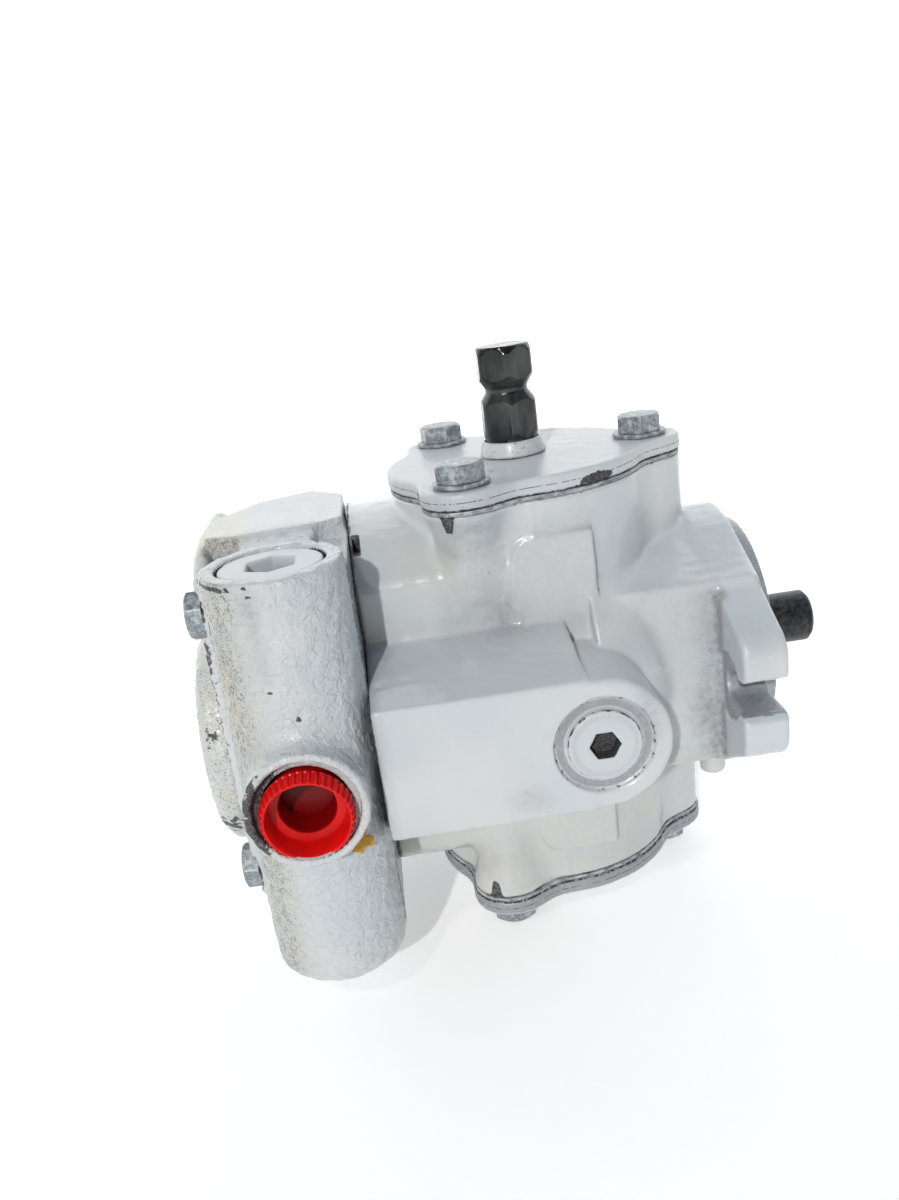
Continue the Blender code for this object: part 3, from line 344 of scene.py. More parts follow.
def lathe(profile, sides, direction, centre, wobble=None, limit=None):
    """Points and quads of a body turned from (radius, height) points, which run outside first."""
    turns = 2 * math.pi * np.arange(sides) / sides
    points = []
    for index, (radius, height) in enumerate(profile):
        radii = np.full(sides, float(radius))
        if wobble is not None:
            radii = radii + wobble(index, turns)
        if limit is not None:
            radii = limit(radii, turns)
        ring = np.stack([radii * np.cos(turns), radii * np.sin(turns), np.full(sides, height)], 1)
        points.append(ring)
    quads = []
    for r in range(len(profile) - 1):
        for s in range(sides):
            n = (s + 1) % sides
            quads.append((r * sides + s, (r + 1) * sides + s, (r + 1) * sides + n, r * sides + n))
    return aimed(np.concatenate(points), direction, centre), np.array(quads)


def hex_limit(flats, corner, round_to):
    """Radius limit for lathe(): a hexagon with one corner at the given turn in degrees."""

    def limit(radii, turns):
        away = (turns - math.radians(corner)) % (math.pi / 3) - math.pi / 6
        return np.minimum(np.minimum(flats / 2 / np.cos(away), round_to), radii)

    return limit


def eased(profile, edge=0.35):
    """The same profile with every corner broken by a small chamfer."""
    result = [profile[0]]
    for before, here, after in zip(profile, profile[1:], profile[2:]):
        here = np.array(here, float)
        for other in (before, after):
            way = np.array(other, float) - here
            length = np.linalg.norm(way)
            result.append(tuple(here + way / length * min(edge, length * 0.4)))
    return result + [profile[-1]]


def arc(centre, radius, first, last, count):
    turns = [math.radians(first + (last - first) * i / count) for i in range(count + 1)]
    return [(centre[0] + radius * math.cos(t), centre[1] + radius * math.sin(t)) for t in turns]


# ---------------------------------------------------------------- painted-on dirt, chips and shade


def near(points, centre, reach):
    """1 at a centre, falling smoothly to 0 at about twice the reach along each axis."""
    away = (points - np.array(centre)) / np.array(reach)
    return np.exp(-(away**2).sum(1))


def within(points, low, high, soft=0.5):
    """1 inside a box, falling to 0 over the soft distance outside it."""
    low, high = np.array(low), np.array(high)
    away = np.maximum(np.maximum(low - points, points - high), 0.0)
    return np.clip(1.0 - np.linalg.norm(away, axis=1) / soft, 0.0, 1.0)


# ---------------------------------------------------------------- materials


class Shader:
    """Short way to write a node tree round a Principled shader."""

    def __init__(self, name):
        self.material = bpy.data.materials.new(name)
        self.material.use_nodes = True
        self.tree = self.material.node_tree
        self.main = self.tree.nodes["Principled BSDF"]
        self.place = self.tree.nodes.new("ShaderNodeTexCoord").outputs["Object"]

    def link(self, value, socket):
        if isinstance(value, bpy.types.NodeSocket):
            self.tree.links.new(value, socket)
        elif isinstance(value, tuple):
            socket.default_value = (*value, 1.0) if len(value) == 3 else value
        else:
            socket.default_value = value

    def noise(self, wavelength_mm, detail=3.0, roughness=0.55, stretch=None):
        node = self.tree.nodes.new("ShaderNodeTexNoise")
        node.inputs["Scale"].default_value = 1000.0 / wavelength_mm
        node.inputs["Detail"].default_value = detail
        node.inputs["Roughness"].default_value = roughness
        place = self.place
        if stretch:
            mapping = self.tree.nodes.new("ShaderNodeMapping")
            mapping.inputs["Scale"].default_value = stretch
            self.tree.links.new(self.place, mapping.inputs["Vector"])
            place = mapping.outputs["Vector"]
        self.tree.links.new(place, node.inputs["Vector"])
        return node.outputs["Fac"]

    def cells(self, wavelength_mm):
        node = self.tree.nodes.new("ShaderNodeTexVoronoi")
        node.inputs["Scale"].default_value = 1000.0 / wavelength_mm
        self.tree.links.new(self.place, node.inputs["Vector"])
        return node.outputs["Distance"]

    def mask(self, name):
        node = self.tree.nodes.new("ShaderNodeAttribute")
        node.attribute_name = name
        return node.outputs["Fac"]

    def math(self, operation, a, b=0.0):
        node = self.tree.nodes.new("ShaderNodeMath")
        node.operation = operation
        self.link(a, node.inputs[0])
        self.link(b, node.inputs[1])
        return node.outputs[0]

    def ramp(self, value, low, high, out_low=0.0, out_high=1.0):
        node = self.tree.nodes.new("ShaderNodeMapRange")
        node.interpolation_type = "SMOOTHSTEP"
        self.link(value, node.inputs["Value"])
        for key, number in zip(
            ("From Min", "From Max", "To Min", "To Max"), (low, high, out_low, out_high)
        ):
            node.inputs[key].default_value = number
        return node.outputs["Result"]

    def blend(self, share, a, b):
        node = self.tree.nodes.new("ShaderNodeMix")
        node.data_type = "RGBA"
        self.link(share, node.inputs["Factor"])
        self.link(a, node.inputs["A"])
        self.link(b, node.inputs["B"])
        return node.outputs["Result"]

    def bump(self, height, distance_mm, strength=1.0, under=None):
        node = self.tree.nodes.new("ShaderNodeBump")
        node.inputs["Distance"].default_value = distance_mm * MM
        node.inputs["Strength"].default_value = strength
        self.link(height, node.inputs["Height"])
        if under is not None:
            self.tree.links.new(under, node.inputs["Normal"])
        return node.outputs["Normal"]

    def finish(self, colour, roughness, metallic=0.0, normal=None, coat=0.0, specular=0.5):
        self.link(colour, self.main.inputs["Base Color"])
        self.link(roughness, self.main.inputs["Roughness"])
        self.link(metallic, self.main.inputs["Metallic"])
        self.main.inputs["Coat Weight"].default_value = coat
        self.main.inputs["Coat Roughness"].default_value = 0.06
        self.main.inputs["Specular IOR Level"].default_value = specular
        if normal is not None:
            self.link(normal, self.main.inputs["Normal"])
        return self.material


def painted(name, peel_mm, peel_depth, gloss, dirt, wrinkle_depth=0.0, seams=(), coat=0.45):
    """White paint over cast iron: uneven tint, dark specks, grime, unpainted metal and painted shade, each where its
    mask says.
    """
    s = Shader(name)
    broad = s.noise(38.0, 2.0)
    fine = s.noise(2.2, 4.0, 0.65)
    grit = s.noise(0.55, 2.0, 0.6)
    colour = s.blend(s.ramp(broad, 0.35, 0.7), (0.50, 0.53, 0.55), (0.555, 0.565, 0.565))
    # The warm mask tints the paint yellow; on the housing's underside that tint is painted shade.
    warm = s.math("MULTIPLY", s.mask("warm"), s.ramp(s.noise(9.0, 3.0), 0.25, 0.7, 0.25, 1.0))
    colour = s.blend(warm, colour, (0.60, 0.55, 0.38))
    # The grime mask darkens the paint for grime, and also for painted shade in corners, recesses and on the underside.
    grime_and_shade = s.math("MULTIPLY", s.mask("grime_and_shade"), s.ramp(fine, 0.25, 0.75, 0.45, 1.0))
    colour = s.blend(grime_and_shade, colour, (0.20, 0.21, 0.225))
    density = s.math("ADD", s.math("MULTIPLY", s.mask("speckle"), 0.19), dirt)
    level = s.math("SUBTRACT", 0.80, density)
    specks = s.math("GREATER_THAN", s.math("ADD", s.math("MULTIPLY", grit, 0.72), s.math("MULTIPLY", fine, 0.36)), level)
    colour = s.blend(s.math("MULTIPLY", specks, 0.72), colour, (0.10, 0.105, 0.11))
    # The bare mask shows chipped, unpainted metal, and also painted shade in narrow gaps and creases.
    ragged = s.math("ADD", s.mask("bare_and_shade"), s.math("MULTIPLY", s.math("SUBTRACT", fine, 0.5), 1.1))
    bare_and_shade = s.ramp(ragged, 0.46, 0.54)
    metal = s.blend(s.ramp(grit, 0.35, 0.65), (0.012, 0.012, 0.013), (0.10, 0.10, 0.105))
    colour = s.blend(bare_and_shade, colour, metal)
    milled = s.ramp(s.math("ADD", s.mask("milled"), s.math("MULTIPLY", s.math("SUBTRACT", fine, 0.5), 0.6)), 0.45, 0.6)
    colour = s.blend(milled, colour, s.blend(fine, (0.20, 0.21, 0.22), (0.47, 0.49, 0.51)))
    for axis, level, half, share in seams:
        split = s.tree.nodes.new("ShaderNodeSeparateXYZ")
        s.tree.links.new(s.place, split.inputs["Vector"])
        away = s.math("ABSOLUTE", split.outputs[axis]) if axis == "Z" else split.outputs[axis]
        away = s.math("ABSOLUTE", s.math("SUBTRACT", away, level * MM))
        line = s.math("LESS_THAN", away, half * MM)
        worn = s.math("GREATER_THAN", s.noise(1.5, 2.0), 1.0 - share)
        colour = s.blend(s.math("MULTIPLY", s.math("MULTIPLY", line, worn), 0.85), colour, (0.03, 0.03, 0.03))
    roughness = s.ramp(s.math("ADD", bare_and_shade, milled), 0.0, 1.0, gloss, 0.55)
    peel = s.bump(s.noise(peel_mm, 2.5, 0.5), peel_depth)
    if wrinkle_depth:
        folds = s.math("ABSOLUTE", s.math("SUBTRACT", s.noise(4.2, 3.0, 0.55), 0.5))
        peel = s.bump(s.ramp(folds, 0.0, 0.07), wrinkle_depth, 0.8, peel)
    normal = s.bump(s.math("SUBTRACT", 1.0, bare_and_shade), 0.12, 0.8, peel)
    normal = s.bump(grit, 0.035, 0.7, normal)
    return s.finish(colour, roughness, s.math("MULTIPLY", milled, 0.5), normal, coat, 0.5 if coat > 0.2 else 0.3)


def brushed_paint(name):
    """Paint over a sanded flat: long fine streaks, yellowed towards one end."""
    s = Shader(name)
    streak = s.noise(1.2, 3.0, 0.6, (0.05, 1.0, 1.0))
    broad = s.noise(26.0, 2.0)
    colour = s.blend(s.ramp(broad, 0.3, 0.7), (0.60, 0.64, 0.66), (0.66, 0.66, 0.60))
    return s.finish(colour, 0.3, 0.0, s.bump(streak, 0.12), 0.3)


def metal(name, dark, light, roughness, scale_mm, streak=None, metallic=1.0, overspray=0.0):
    """Worn metal with uneven tone, and white overspray where it was masked badly."""
    s = Shader(name)
    tone = s.noise(scale_mm, 4.0, 0.6, streak)
    fine = s.noise(0.6, 3.0, 0.6)
    colour = s.blend(s.ramp(tone, 0.3, 0.72), dark, light)
    shine = metallic
    if overspray:
        spray = s.ramp(s.math("ADD", s.noise(3.0, 4.0, 0.7), overspray), 0.95, 1.12)
        colour = s.blend(spray, colour, (0.44, 0.47, 0.49))
        shine = s.math("MULTIPLY", s.math("SUBTRACT", 1.0, spray), metallic)
    rough = s.ramp(tone, 0.25, 0.75, roughness - 0.08, roughness + 0.12)
    normal = s.bump(fine, 0.04, 0.6)
    return s.finish(colour, rough, shine, normal, 0.0)


def plastic(name, colour, deep, roughness):
    """Moulded plastic with a faint flow pattern, and painted shade down in its cup."""
    s = Shader(name)
    flow = s.noise(6.0, 3.0)
    tint = s.blend(s.ramp(flow, 0.3, 0.7), deep, colour)
    # Painted shade: the depth mask darkens the inside of the cup.
    dark = tuple(0.3 * c for c in deep)
    tint = s.blend(s.mask("depth"), tint, dark)
    sprayed = s.ramp(s.math("ADD", s.mask("spray"), s.math("MULTIPLY", s.noise(1.0, 3.0), 0.5)), 0.7, 0.8)
    tint = s.blend(sprayed, tint, (0.36, 0.34, 0.34))
    return s.finish(tint, roughness, 0.0, s.bump(s.noise(0.9, 2.0), 0.03), 0.0, 0.25)


def matt(name, dark, light, roughness):
    s = Shader(name)
    tint = s.blend(s.noise(1.4, 4.0), dark, light)
    return s.finish(tint, roughness, 0.0, s.bump(s.noise(0.7, 3.0), 0.06))


JOINT_SEAM = ("X", CAP_FRONT_X + TRUNNION_X, 0.3, 0.55)
COVER_SEAMS = [("Z", 73.9, 0.13, 0.56), ("Z", 71.5, 0.3, 0.52)]

MATERIALS = {
    "housing_paint": painted("housing_paint", 2.6, 0.05, 0.32, 0.0, 0.0, [JOINT_SEAM]),
    "cast_paint": painted("cast_paint", 1.6, 0.6, 0.30, 0.02, 0.17, [JOINT_SEAM], 0.25),
    "cover_paint": painted("cover_paint", 3.4, 0.05, 0.32, 0.0, 0.0, COVER_SEAMS, 0.1),
    "zinc": metal("zinc", (0.17, 0.185, 0.20), (0.34, 0.37, 0.40), 0.36, 0.9, None, 0.5, 0.49),
    "polished": metal("polished", (0.035, 0.037, 0.036), (0.115, 0.12, 0.115), 0.2, 7.0, (1, 1, 0.3)),
    "ground": metal("ground", (0.30, 0.31, 0.32), (0.56, 0.57, 0.58), 0.26, 1.5, (0.1, 1, 1)),
    "blackened": metal("blackened", (0.012, 0.012, 0.013), (0.06, 0.06, 0.065), 0.4, 1.8, None, 0.6),
    "bronze": metal("bronze", (0.45, 0.27, 0.12), (0.68, 0.46, 0.24), 0.34, 2.0),
    "iron": metal("iron", (0.10, 0.10, 0.105), (0.26, 0.26, 0.27), 0.48, 1.6, None, 0.7),
    "shim": metal("shim", (0.11, 0.12, 0.13), (0.52, 0.54, 0.56), 0.45, 4.0, (1, 1, 3), 0.5, 0.46),
    "rubber": matt("rubber", (0.012, 0.012, 0.012), (0.04, 0.04, 0.04), 0.6),
    "gasket": matt("gasket", (0.05, 0.05, 0.05), (0.27, 0.27, 0.26), 0.8),
    "red": plastic("red", (0.72, 0.006, 0.005), (0.56, 0.004, 0.005), 0.3),
    "tape": plastic("tape", (0.62, 0.34, 0.05), (0.42, 0.20, 0.02), 0.5),
}


# ---------------------------------------------------------------- housing


def cover_shape(u, v, inset, turns=BOLT_TURNS):
    """The cover's outline as a field: a disc with filleted bolt ears."""
    shape = np.hypot(u, v) - (DISC_RADIUS - inset)
    for t in turns:
        turn = math.radians(t)
        ear = np.hypot(u - DISC_RADIUS * math.cos(turn), v - DISC_RADIUS * math.sin(turn))
        shape = merge(shape, ear - (EAR_RADIUS - inset), EAR_FILLET)
    return shape


def cover_outline(inset=0.0, count=240):
    """The same outline as points, each found by halving along its own ray."""
    turns = 2 * math.pi * np.arange(count) / count
    low, high = np.zeros(count), np.full(count, DISC_RADIUS + EAR_RADIUS + 1.0)
    for _ in range(30):
        radius = (low + high) / 2
        outside = cover_shape(radius * np.cos(turns), radius * np.sin(turns), inset) > 0
        high = np.where(outside, radius, high)
        low = np.where(outside, low, radius)
    return list(zip(low * np.cos(turns), low * np.sin(turns)))


def bolt_column(g, x0, y0):
    """Column under a side ear, tapering away into the casting; the same at both ends."""
    level = np.abs(g.z)
    radius = COLUMN_FOOT_RADIUS + (level - COLUMN_FOOT_Z) * COLUMN_TAPER
    side = (np.hypot(g.x - x0, g.y - y0) - np.minimum(radius, EAR_RADIUS - 0.5)) * 0.95
    return common(side, np.maximum(level - NECK_TOP, COLUMN_FOOT_Z - level), 0.5)


def flange_outline():
    corner = (FLANGE_REACH - FLANGE_CORNER, FLANGE_CORNER_Z)
    distance = math.hypot(*corner)
    lean = math.atan2(corner[1], corner[0])
    flank = math.degrees(lean + math.acos((FLANGE_RADIUS - FLANGE_CORNER) / distance))
    quarter = arc(corner, FLANGE_CORNER, 0.0, flank, 12)
    quarter += arc((0.0, 0.0), FLANGE_RADIUS, flank, 90.0, 16)
    upper = quarter + [(-u, v) for u, v in reversed(quarter)][1:]
    return upper + [(u, -v) for u, v in reversed(upper)][1:-1]


def housing_field(g):
    x, y, z = g.x, g.y, g.z
    barrel = common(np.hypot(y, z) - BARREL_RADIUS, np.abs(y) - BARREL_HALF_WIDTH, 2.0)
    shape = extruded(barrel, x, PAINT_EDGE_X, BARREL_FRONT_X, 0.3)
    bulb = common(np.sqrt(x * x + y * y + z * z) - BULB_RADIUS, 14.0 - x, 1.0)
    neck = extruded(cover_shape(x, y, 0.5, BOLT_TURNS[:1]), z, -NECK_TOP, NECK_TOP, 0.5)
    shape = merge(shape, neck, 2.5)
    for t in BOLT_TURNS[1:]:
        turn = math.radians(t)
        column = bolt_column(g, DISC_RADIUS * math.cos(turn), DISC_RADIUS * math.sin(turn))
        shape = merge(shape, column, 7.0)
    shape = merge(shape, bulb, 1.2)
    flat = common(common(-10.0 - x, np.abs(z) - 58.0, 9.0), x - 17.3, 1.2)
    shape = merge(shape, extruded(flat, y, -45.4, 45.4, 0.9), 1.0)
    slope = (29.3 - 22.0) / (82.8 - 45.0)
    outline = [(-38.0, 29.3 + 7.0 * slope), (BLOCK_FACE_Y, 22.0)]
    outline += [(BLOCK_FACE_Y, -22.0), (-38.0, -29.3 - 7.0 * slope)]
    side = extruded(polygon(y, z, outline) + 0.9, x, PAINT_EDGE_X + 0.9, 4.5, 0.9) - 0.9
    shape = merge(shape, side, 1.6)
    boss = rod(x, z, y, (BOSS_X, 0.0), BOSS_RADIUS, -82.9, -38.0, 1.4)
    shape = merge(shape, boss, 1.1)
    web_outline = [(0.0, 47.5), (-44.9, 34.0), (-44.9, -31.0)]
    web_outline += [(0.0, -47.5), (44.9, -31.0), (44.9, 34.0)]
    web = extruded(polygon(y, z, web_outline) + 1.6, x, 22.0, 69.0, 1.0) - 1.6
    shape = merge(shape, web, 1.6)
    ears = extruded(polygon(y, z, flange_outline()), x, FLANGE_REAR_X, FACE_X, 1.5)
    shape = merge(shape, ears, 3.0)
    shape = merge(shape, rod(y, z, x, (0, 0), PILOT_RADIUS, 60.0, 77.65, 0.6), 0.5)
    shape = merge(shape, rod(x, y, z, (60.5, -18.0), 4.6, -49.8, -38.0, 1.8), 1.5)
    for high in (1, -1):
        seam = block(g, (-2.5, -45.0, min(high * 57, high * 69)), (-1.3, -40.0, max(high * 57, high * 69)), 0.4)
        shape = merge(shape, seam, 0.8)
    return cut_housing(g, shape)


def cut_housing(g, shape):
    x, y, z = g.x, g.y, g.z
    for side in (1, -1):
        slot = [(FLANGE_BOLT_Y + u * 1.0, v) for u, v in arc((0, 0), SLOT_HALF, 90.0, 270.0, 12)]
        slot += [(66.3, -SLOT_HALF), (71.8, -8.4), (71.8, 8.4), (66.3, SLOT_HALF)]
        if side < 0:
            slot = [(-u, v) for u, v in reversed(slot)]
        shape = remove(shape, extruded(polygon(y, z, slot), x, 50.0, 80.0, 0.2), 0.5)
        spot = rod(y, z, x, (side * FLANGE_BOLT_Y, 0.0), 11.6, 51.0, 57.6, 0.3)
        spot = np.maximum(spot, 45.6 - side * y)
        shape = remove(shape, spot, 0.4)
    drain = rod(x, z, y, (BOSS_X, 0.0), 15.76, -86.0, -81.4, 0.1)
    shape = remove(shape, drain, 0.5)
    shape = remove(shape, rod(x, z, y, (BOSS_X, 0.0), 9.6, -83.0, -64.0, 0.1), 0.3)
    notch = polygon(x, np.abs(z), NOTCH)
    shape = remove(shape, extruded(notch, y, -56.0, -49.9, 0.1), 0.2)
    pry = block(g, (-62.0, -32.5, 55.0), (-57.9, -24.5, 65.0), 0.3)
    shape = remove(shape, pry, 0.4)
    shape = remove(shape, rod(y, z, x, (0, 0), 40.0, -65.0, 27.0, 1.0), 0.4)
    shape = remove(shape, rod(y, z, x, (0, 0), 20.2, 20.0, 51.0, 0.3), 0.4)
    shape = remove(shape, rod(y, z, x, (0, 0), 14.0, 48.0, 70.0, 0.3), 0.4)
    shape = remove(shape, rod(y, z, x, (0, 0), 17.4, 63.3, 80.0, 0.2), 0.4)
    return remove(shape, rod(x, y, z, (0, 0), 27.3, -72.0, 72.0, 0.3), 0.4)


def housing_wear_and_shade(p):
    """Where the housing's paint is dirty, thin or missing, and where shade is painted on it."""
    x, y, z = p.T
    front = (y < 0).astype(float)
    notch = polygon(x, np.abs(z), NOTCH)
    bare_and_shade = 0.95 * np.clip(0.7 - notch, 0, 1) * (y > -51.9) * (y < -48) * front
    bare_and_shade = np.maximum(bare_and_shade, 0.9 * within(p, (-60.0, -33.5, 56.0), (-57.6, -24.0, 63.0), 0.4))
    joint = np.clip(1 - (x - PAINT_EDGE_X) / 0.7, 0, 1) * (np.hypot(y, z) > 45)
    bare_and_shade = np.maximum(bare_and_shade, 0.30 * joint)
    rim = np.clip(1 - np.abs(np.abs(z) - 69.2) / 0.8, 0, 1) * (np.hypot(x, y) > 43)
    bare_and_shade = np.maximum(bare_and_shade, 0.50 * rim)
    # Painted shade: a dark line down the concave corner at the pad's right edge.
    corner = np.exp(-(((x - 17.7) / 0.5) ** 2)) * (np.abs(y + 44.6) < 1.6) * (z > 3) * (z < 57.5)
    bare_and_shade = np.maximum(bare_and_shade, 0.56 * corner)
    ring = np.hypot(x - BOSS_X, z)
    groove = np.exp(-(((ring - 15.6) / 0.9) ** 2)) * (y < -78)
    bare_and_shade = np.maximum(bare_and_shade, 0.46 * groove)
    milled = 0.9 * np.exp(-(((ring - 13.8) / 1.6) ** 2)) * (y < -79) * (y > -82.4)
    spot = np.hypot(np.abs(y) - FLANGE_BOLT_Y, z) < 11.8
    milled = np.maximum(milled, 0.62 * spot * (np.abs(x - 57.6) < 0.9))
    slot = (np.abs(y) > 46) * (np.abs(z) < 6.2) * (x > 56.5) * (x < 71)
    milled = np.maximum(milled, 0.85 * slot)
    milled = np.maximum(milled, 0.95 * (x > 70.9) * (np.hypot(y, z) > 38))
    # Grime on the web face, with painted shade that is darkest in the corner against the flange.
    grime_and_shade = 1.0 * np.exp(-np.maximum(56.5 - x, 0) / 3.4) * within(p, (44, -48, -31), (57.2, -42, 30), 3.0)
    grime_and_shade += 0.5 * near(p, (50, -45, -14), (5, 3, 10)) + 0.5 * near(p, (55.5, -45, -26), (3, 3, 7))
    grime_and_shade += 0.5 * near(p, (-14, -43, 34), (6, 8, 9)) + 0.35 * near(p, (-16, -45, 22), (14, 9, 8))
    grime_and_shade += 0.55 * near(p, (-21, -51, 66), (10, 6, 4)) * front
    grime_and_shade += 0.7 * near(p, (BOSS_X + 14, -80, 6), (5, 5, 13))
    # The second spot is painted shade on the underside of the side block, near its left end.
    grime_and_shade += 0.35 * near(p, (-16, -83, -15), (7, 4, 5)) + 0.3 * near(p, (-52, -70, -24), (9, 12, 6))
    grime_and_shade += 0.35 * near(p, (62, -60, 12), (8, 10, 14)) + 0.16 * within(p, (30, -46, -40), (56, -40, 34), 3)
    # The second term is painted shade: the lower front of the housing is drawn darker.
    grime_and_shade += 0.2 * within(p, (-32, -60, 30), (16, -38, 60), 6) + 0.12 * (z < -24) * (y > -60) * (y < 0)
    grime_and_shade += 0.25 * np.clip(1 - (x - JOINT_X) / 3.5, 0, 1)
    speckle = 0.55 * near(p, (-22, -50, 56), (12, 8, 14)) + 0.35 * near(p, (-20, -45, 30), (26, 9, 22))
    speckle += 0.5 * near(p, (52, -45, 0), (9, 9, 30)) + 0.5 * near(p, (-16, -83, -16), (9, 4, 6))
    speckle += 0.35 * near(p, (64, -58, 6), (9, 12, 16)) + 0.25 * np.clip(1 - (x - JOINT_X) / 6, 0, 1)
    speckle += 0.4 * near(p, (-44, -30, 57), (10, 14, 10))
    # The warm tint on the lower part, below z = -24, and the spot under the side block's left end are painted shade.
    warm = 0.35 * near(p, (-30, -40, 52), (12, 12, 10)) + 0.25 * (z < -24) * (y < -20)
    warm += 0.3 * near(p, (-52, -60, -30), (12, 16, 10))
    return {"bare_and_shade": bare_and_shade, "milled": milled, "grime_and_shade": grime_and_shade, "speckle": speckle, "warm": warm}


def housing():
    g = Grid((-61, -84, -71), (79, 71, 71), CASTING_STEP)
    points, quads = surface(housing_field(g), g)
    outward = normals_of(points, quads)
    machined = (points[:, 0] > 70.5) | (np.abs(points[:, 2]) > 69.2) | (points[:, 0] < PAINT_EDGE_X + 0.4)
    height = 0.05 * ripple(points, 7.0, 1) + 0.02 * ripple(points, 2.6, 2)
    points = points + outward * (height * ~machined)[:, None]
    piece("housing_casting", points, quads, "casing", "housing_paint", ["housing"], housing_wear_and_shade(points))


# ---------------------------------------------------------------- end cap


def end_cap_field(g):
    x, y, z = g.x, g.y, g.z
    shape = block(g, (-110.0, -47.0, -57.5), (CAP_FRONT_X, 47.0, 57.5), 2.0)
    rear = common(np.hypot(y, z) - 72.0, np.maximum(np.abs(y) - 47.0, np.abs(z) - 66.8), 5.0)
    shape = merge(shape, extruded(rear, x, CAP_REAR_X, -107.0, 2.4), 2.0)
    crown = [(-108.2, -25.8), (-95.6, -30.2), (-73.5, -29.3), (-62.2, -22.0), (-62.2, 15.0)]
    crown += [(-74.2, 28.8), (-93.7, 20.6), (-108.2, 0.4)]
    top = extruded(polygon(x, y, crown), z, -FRONT_TOP, FRONT_TOP, 0.6)
    shape = merge(shape, top, 1.2)
    for side in (-1, 1):
        height = FRONT_TOP if side < 0 else REAR_TOP
        centre = (CYLINDER_X, side * CYLINDER_Y)
        barrel = np.hypot(x - centre[0], y - centre[1]) - CYLINDER_RADIUS
        body = extruded(barrel, z, -FRONT_TOP, height, 1.5)
        foot = extruded(barrel, z, -FRONT_TOP, FRONT_TOP, 6.5)
        body = np.where(z < 0, foot, body)
        shape = merge(shape, body, 3.0)
        low_y, high_y = sorted((side * 10.0, side * CYLINDER_Y))
        web = block(g, (CYLINDER_X - 17, low_y, -60.0), (CAP_FRONT_X, high_y, min(height - 4, 62.0)), 1.5)
        shape = merge(shape, web, 5.0)
        port = (CYLINDER_X, PORT_Z)
        if side < 0:
            boss = rod(x, z, y, port, 18.7, -PORT_FACE_Y, -CYLINDER_Y, 1.3)
        else:
            boss = rod(x, z, y, port, 18.7, CYLINDER_Y, PORT_FACE_Y, 1.3)
        shape = merge(shape, boss, 5.0)
    ramp = [(-24.0, 68.3), (-47.0, 66.0), (-60.0, 64.0), (-60.0, 50.0), (-20.0, 50.0)]
    shape = merge(shape, extruded(polygon(y, z, ramp), x, -96.0, -72.0, 2.0), 4.0)
    shape = np.maximum(shape, x - CAP_FRONT_X)
    return cut_end_cap(g, shape)


def cut_end_cap(g, shape):
    x, y, z = g.x, g.y, g.z
    for side in (-1, 1):
        height = FRONT_TOP if side < 0 else REAR_TOP
        centre = (CYLINDER_X, side * CYLINDER_Y)
        shape = remove(shape, rod(x, y, z, centre, 16.7, height - 8.7, height + 5, 0.2), 1.2)
        shape = remove(shape, rod(x, y, z, centre, 13.6, -8.0, height - 6, 0.2), 0.4)
        port = (CYLINDER_X, PORT_Z)
        for radius, deep, face in ((16.0, 2.5, 5.0), (13.6, 29.6, 1.0)):
            low, high = sorted((side * (PORT_FACE_Y - deep), side * (PORT_FACE_Y + face)))
            shape = remove(shape, rod(x, z, y, port, radius, low, high, 0.2), 0.9)
    for y0, z0 in END_BOLTS:
        shape = remove(shape, rod(y, z, x, (y0, z0), 9.4, -115.0, -110.0, 0.3), 0.5)
    shape = remove(shape, rod(y, z, x, (0, 0), 14.4, -77.0, -55.0, 0.2), 0.4)
    return remove(shape, rod(y, z, x, (0, 0), 10.6, -120.0, -75.0, 0.2), 0.4)


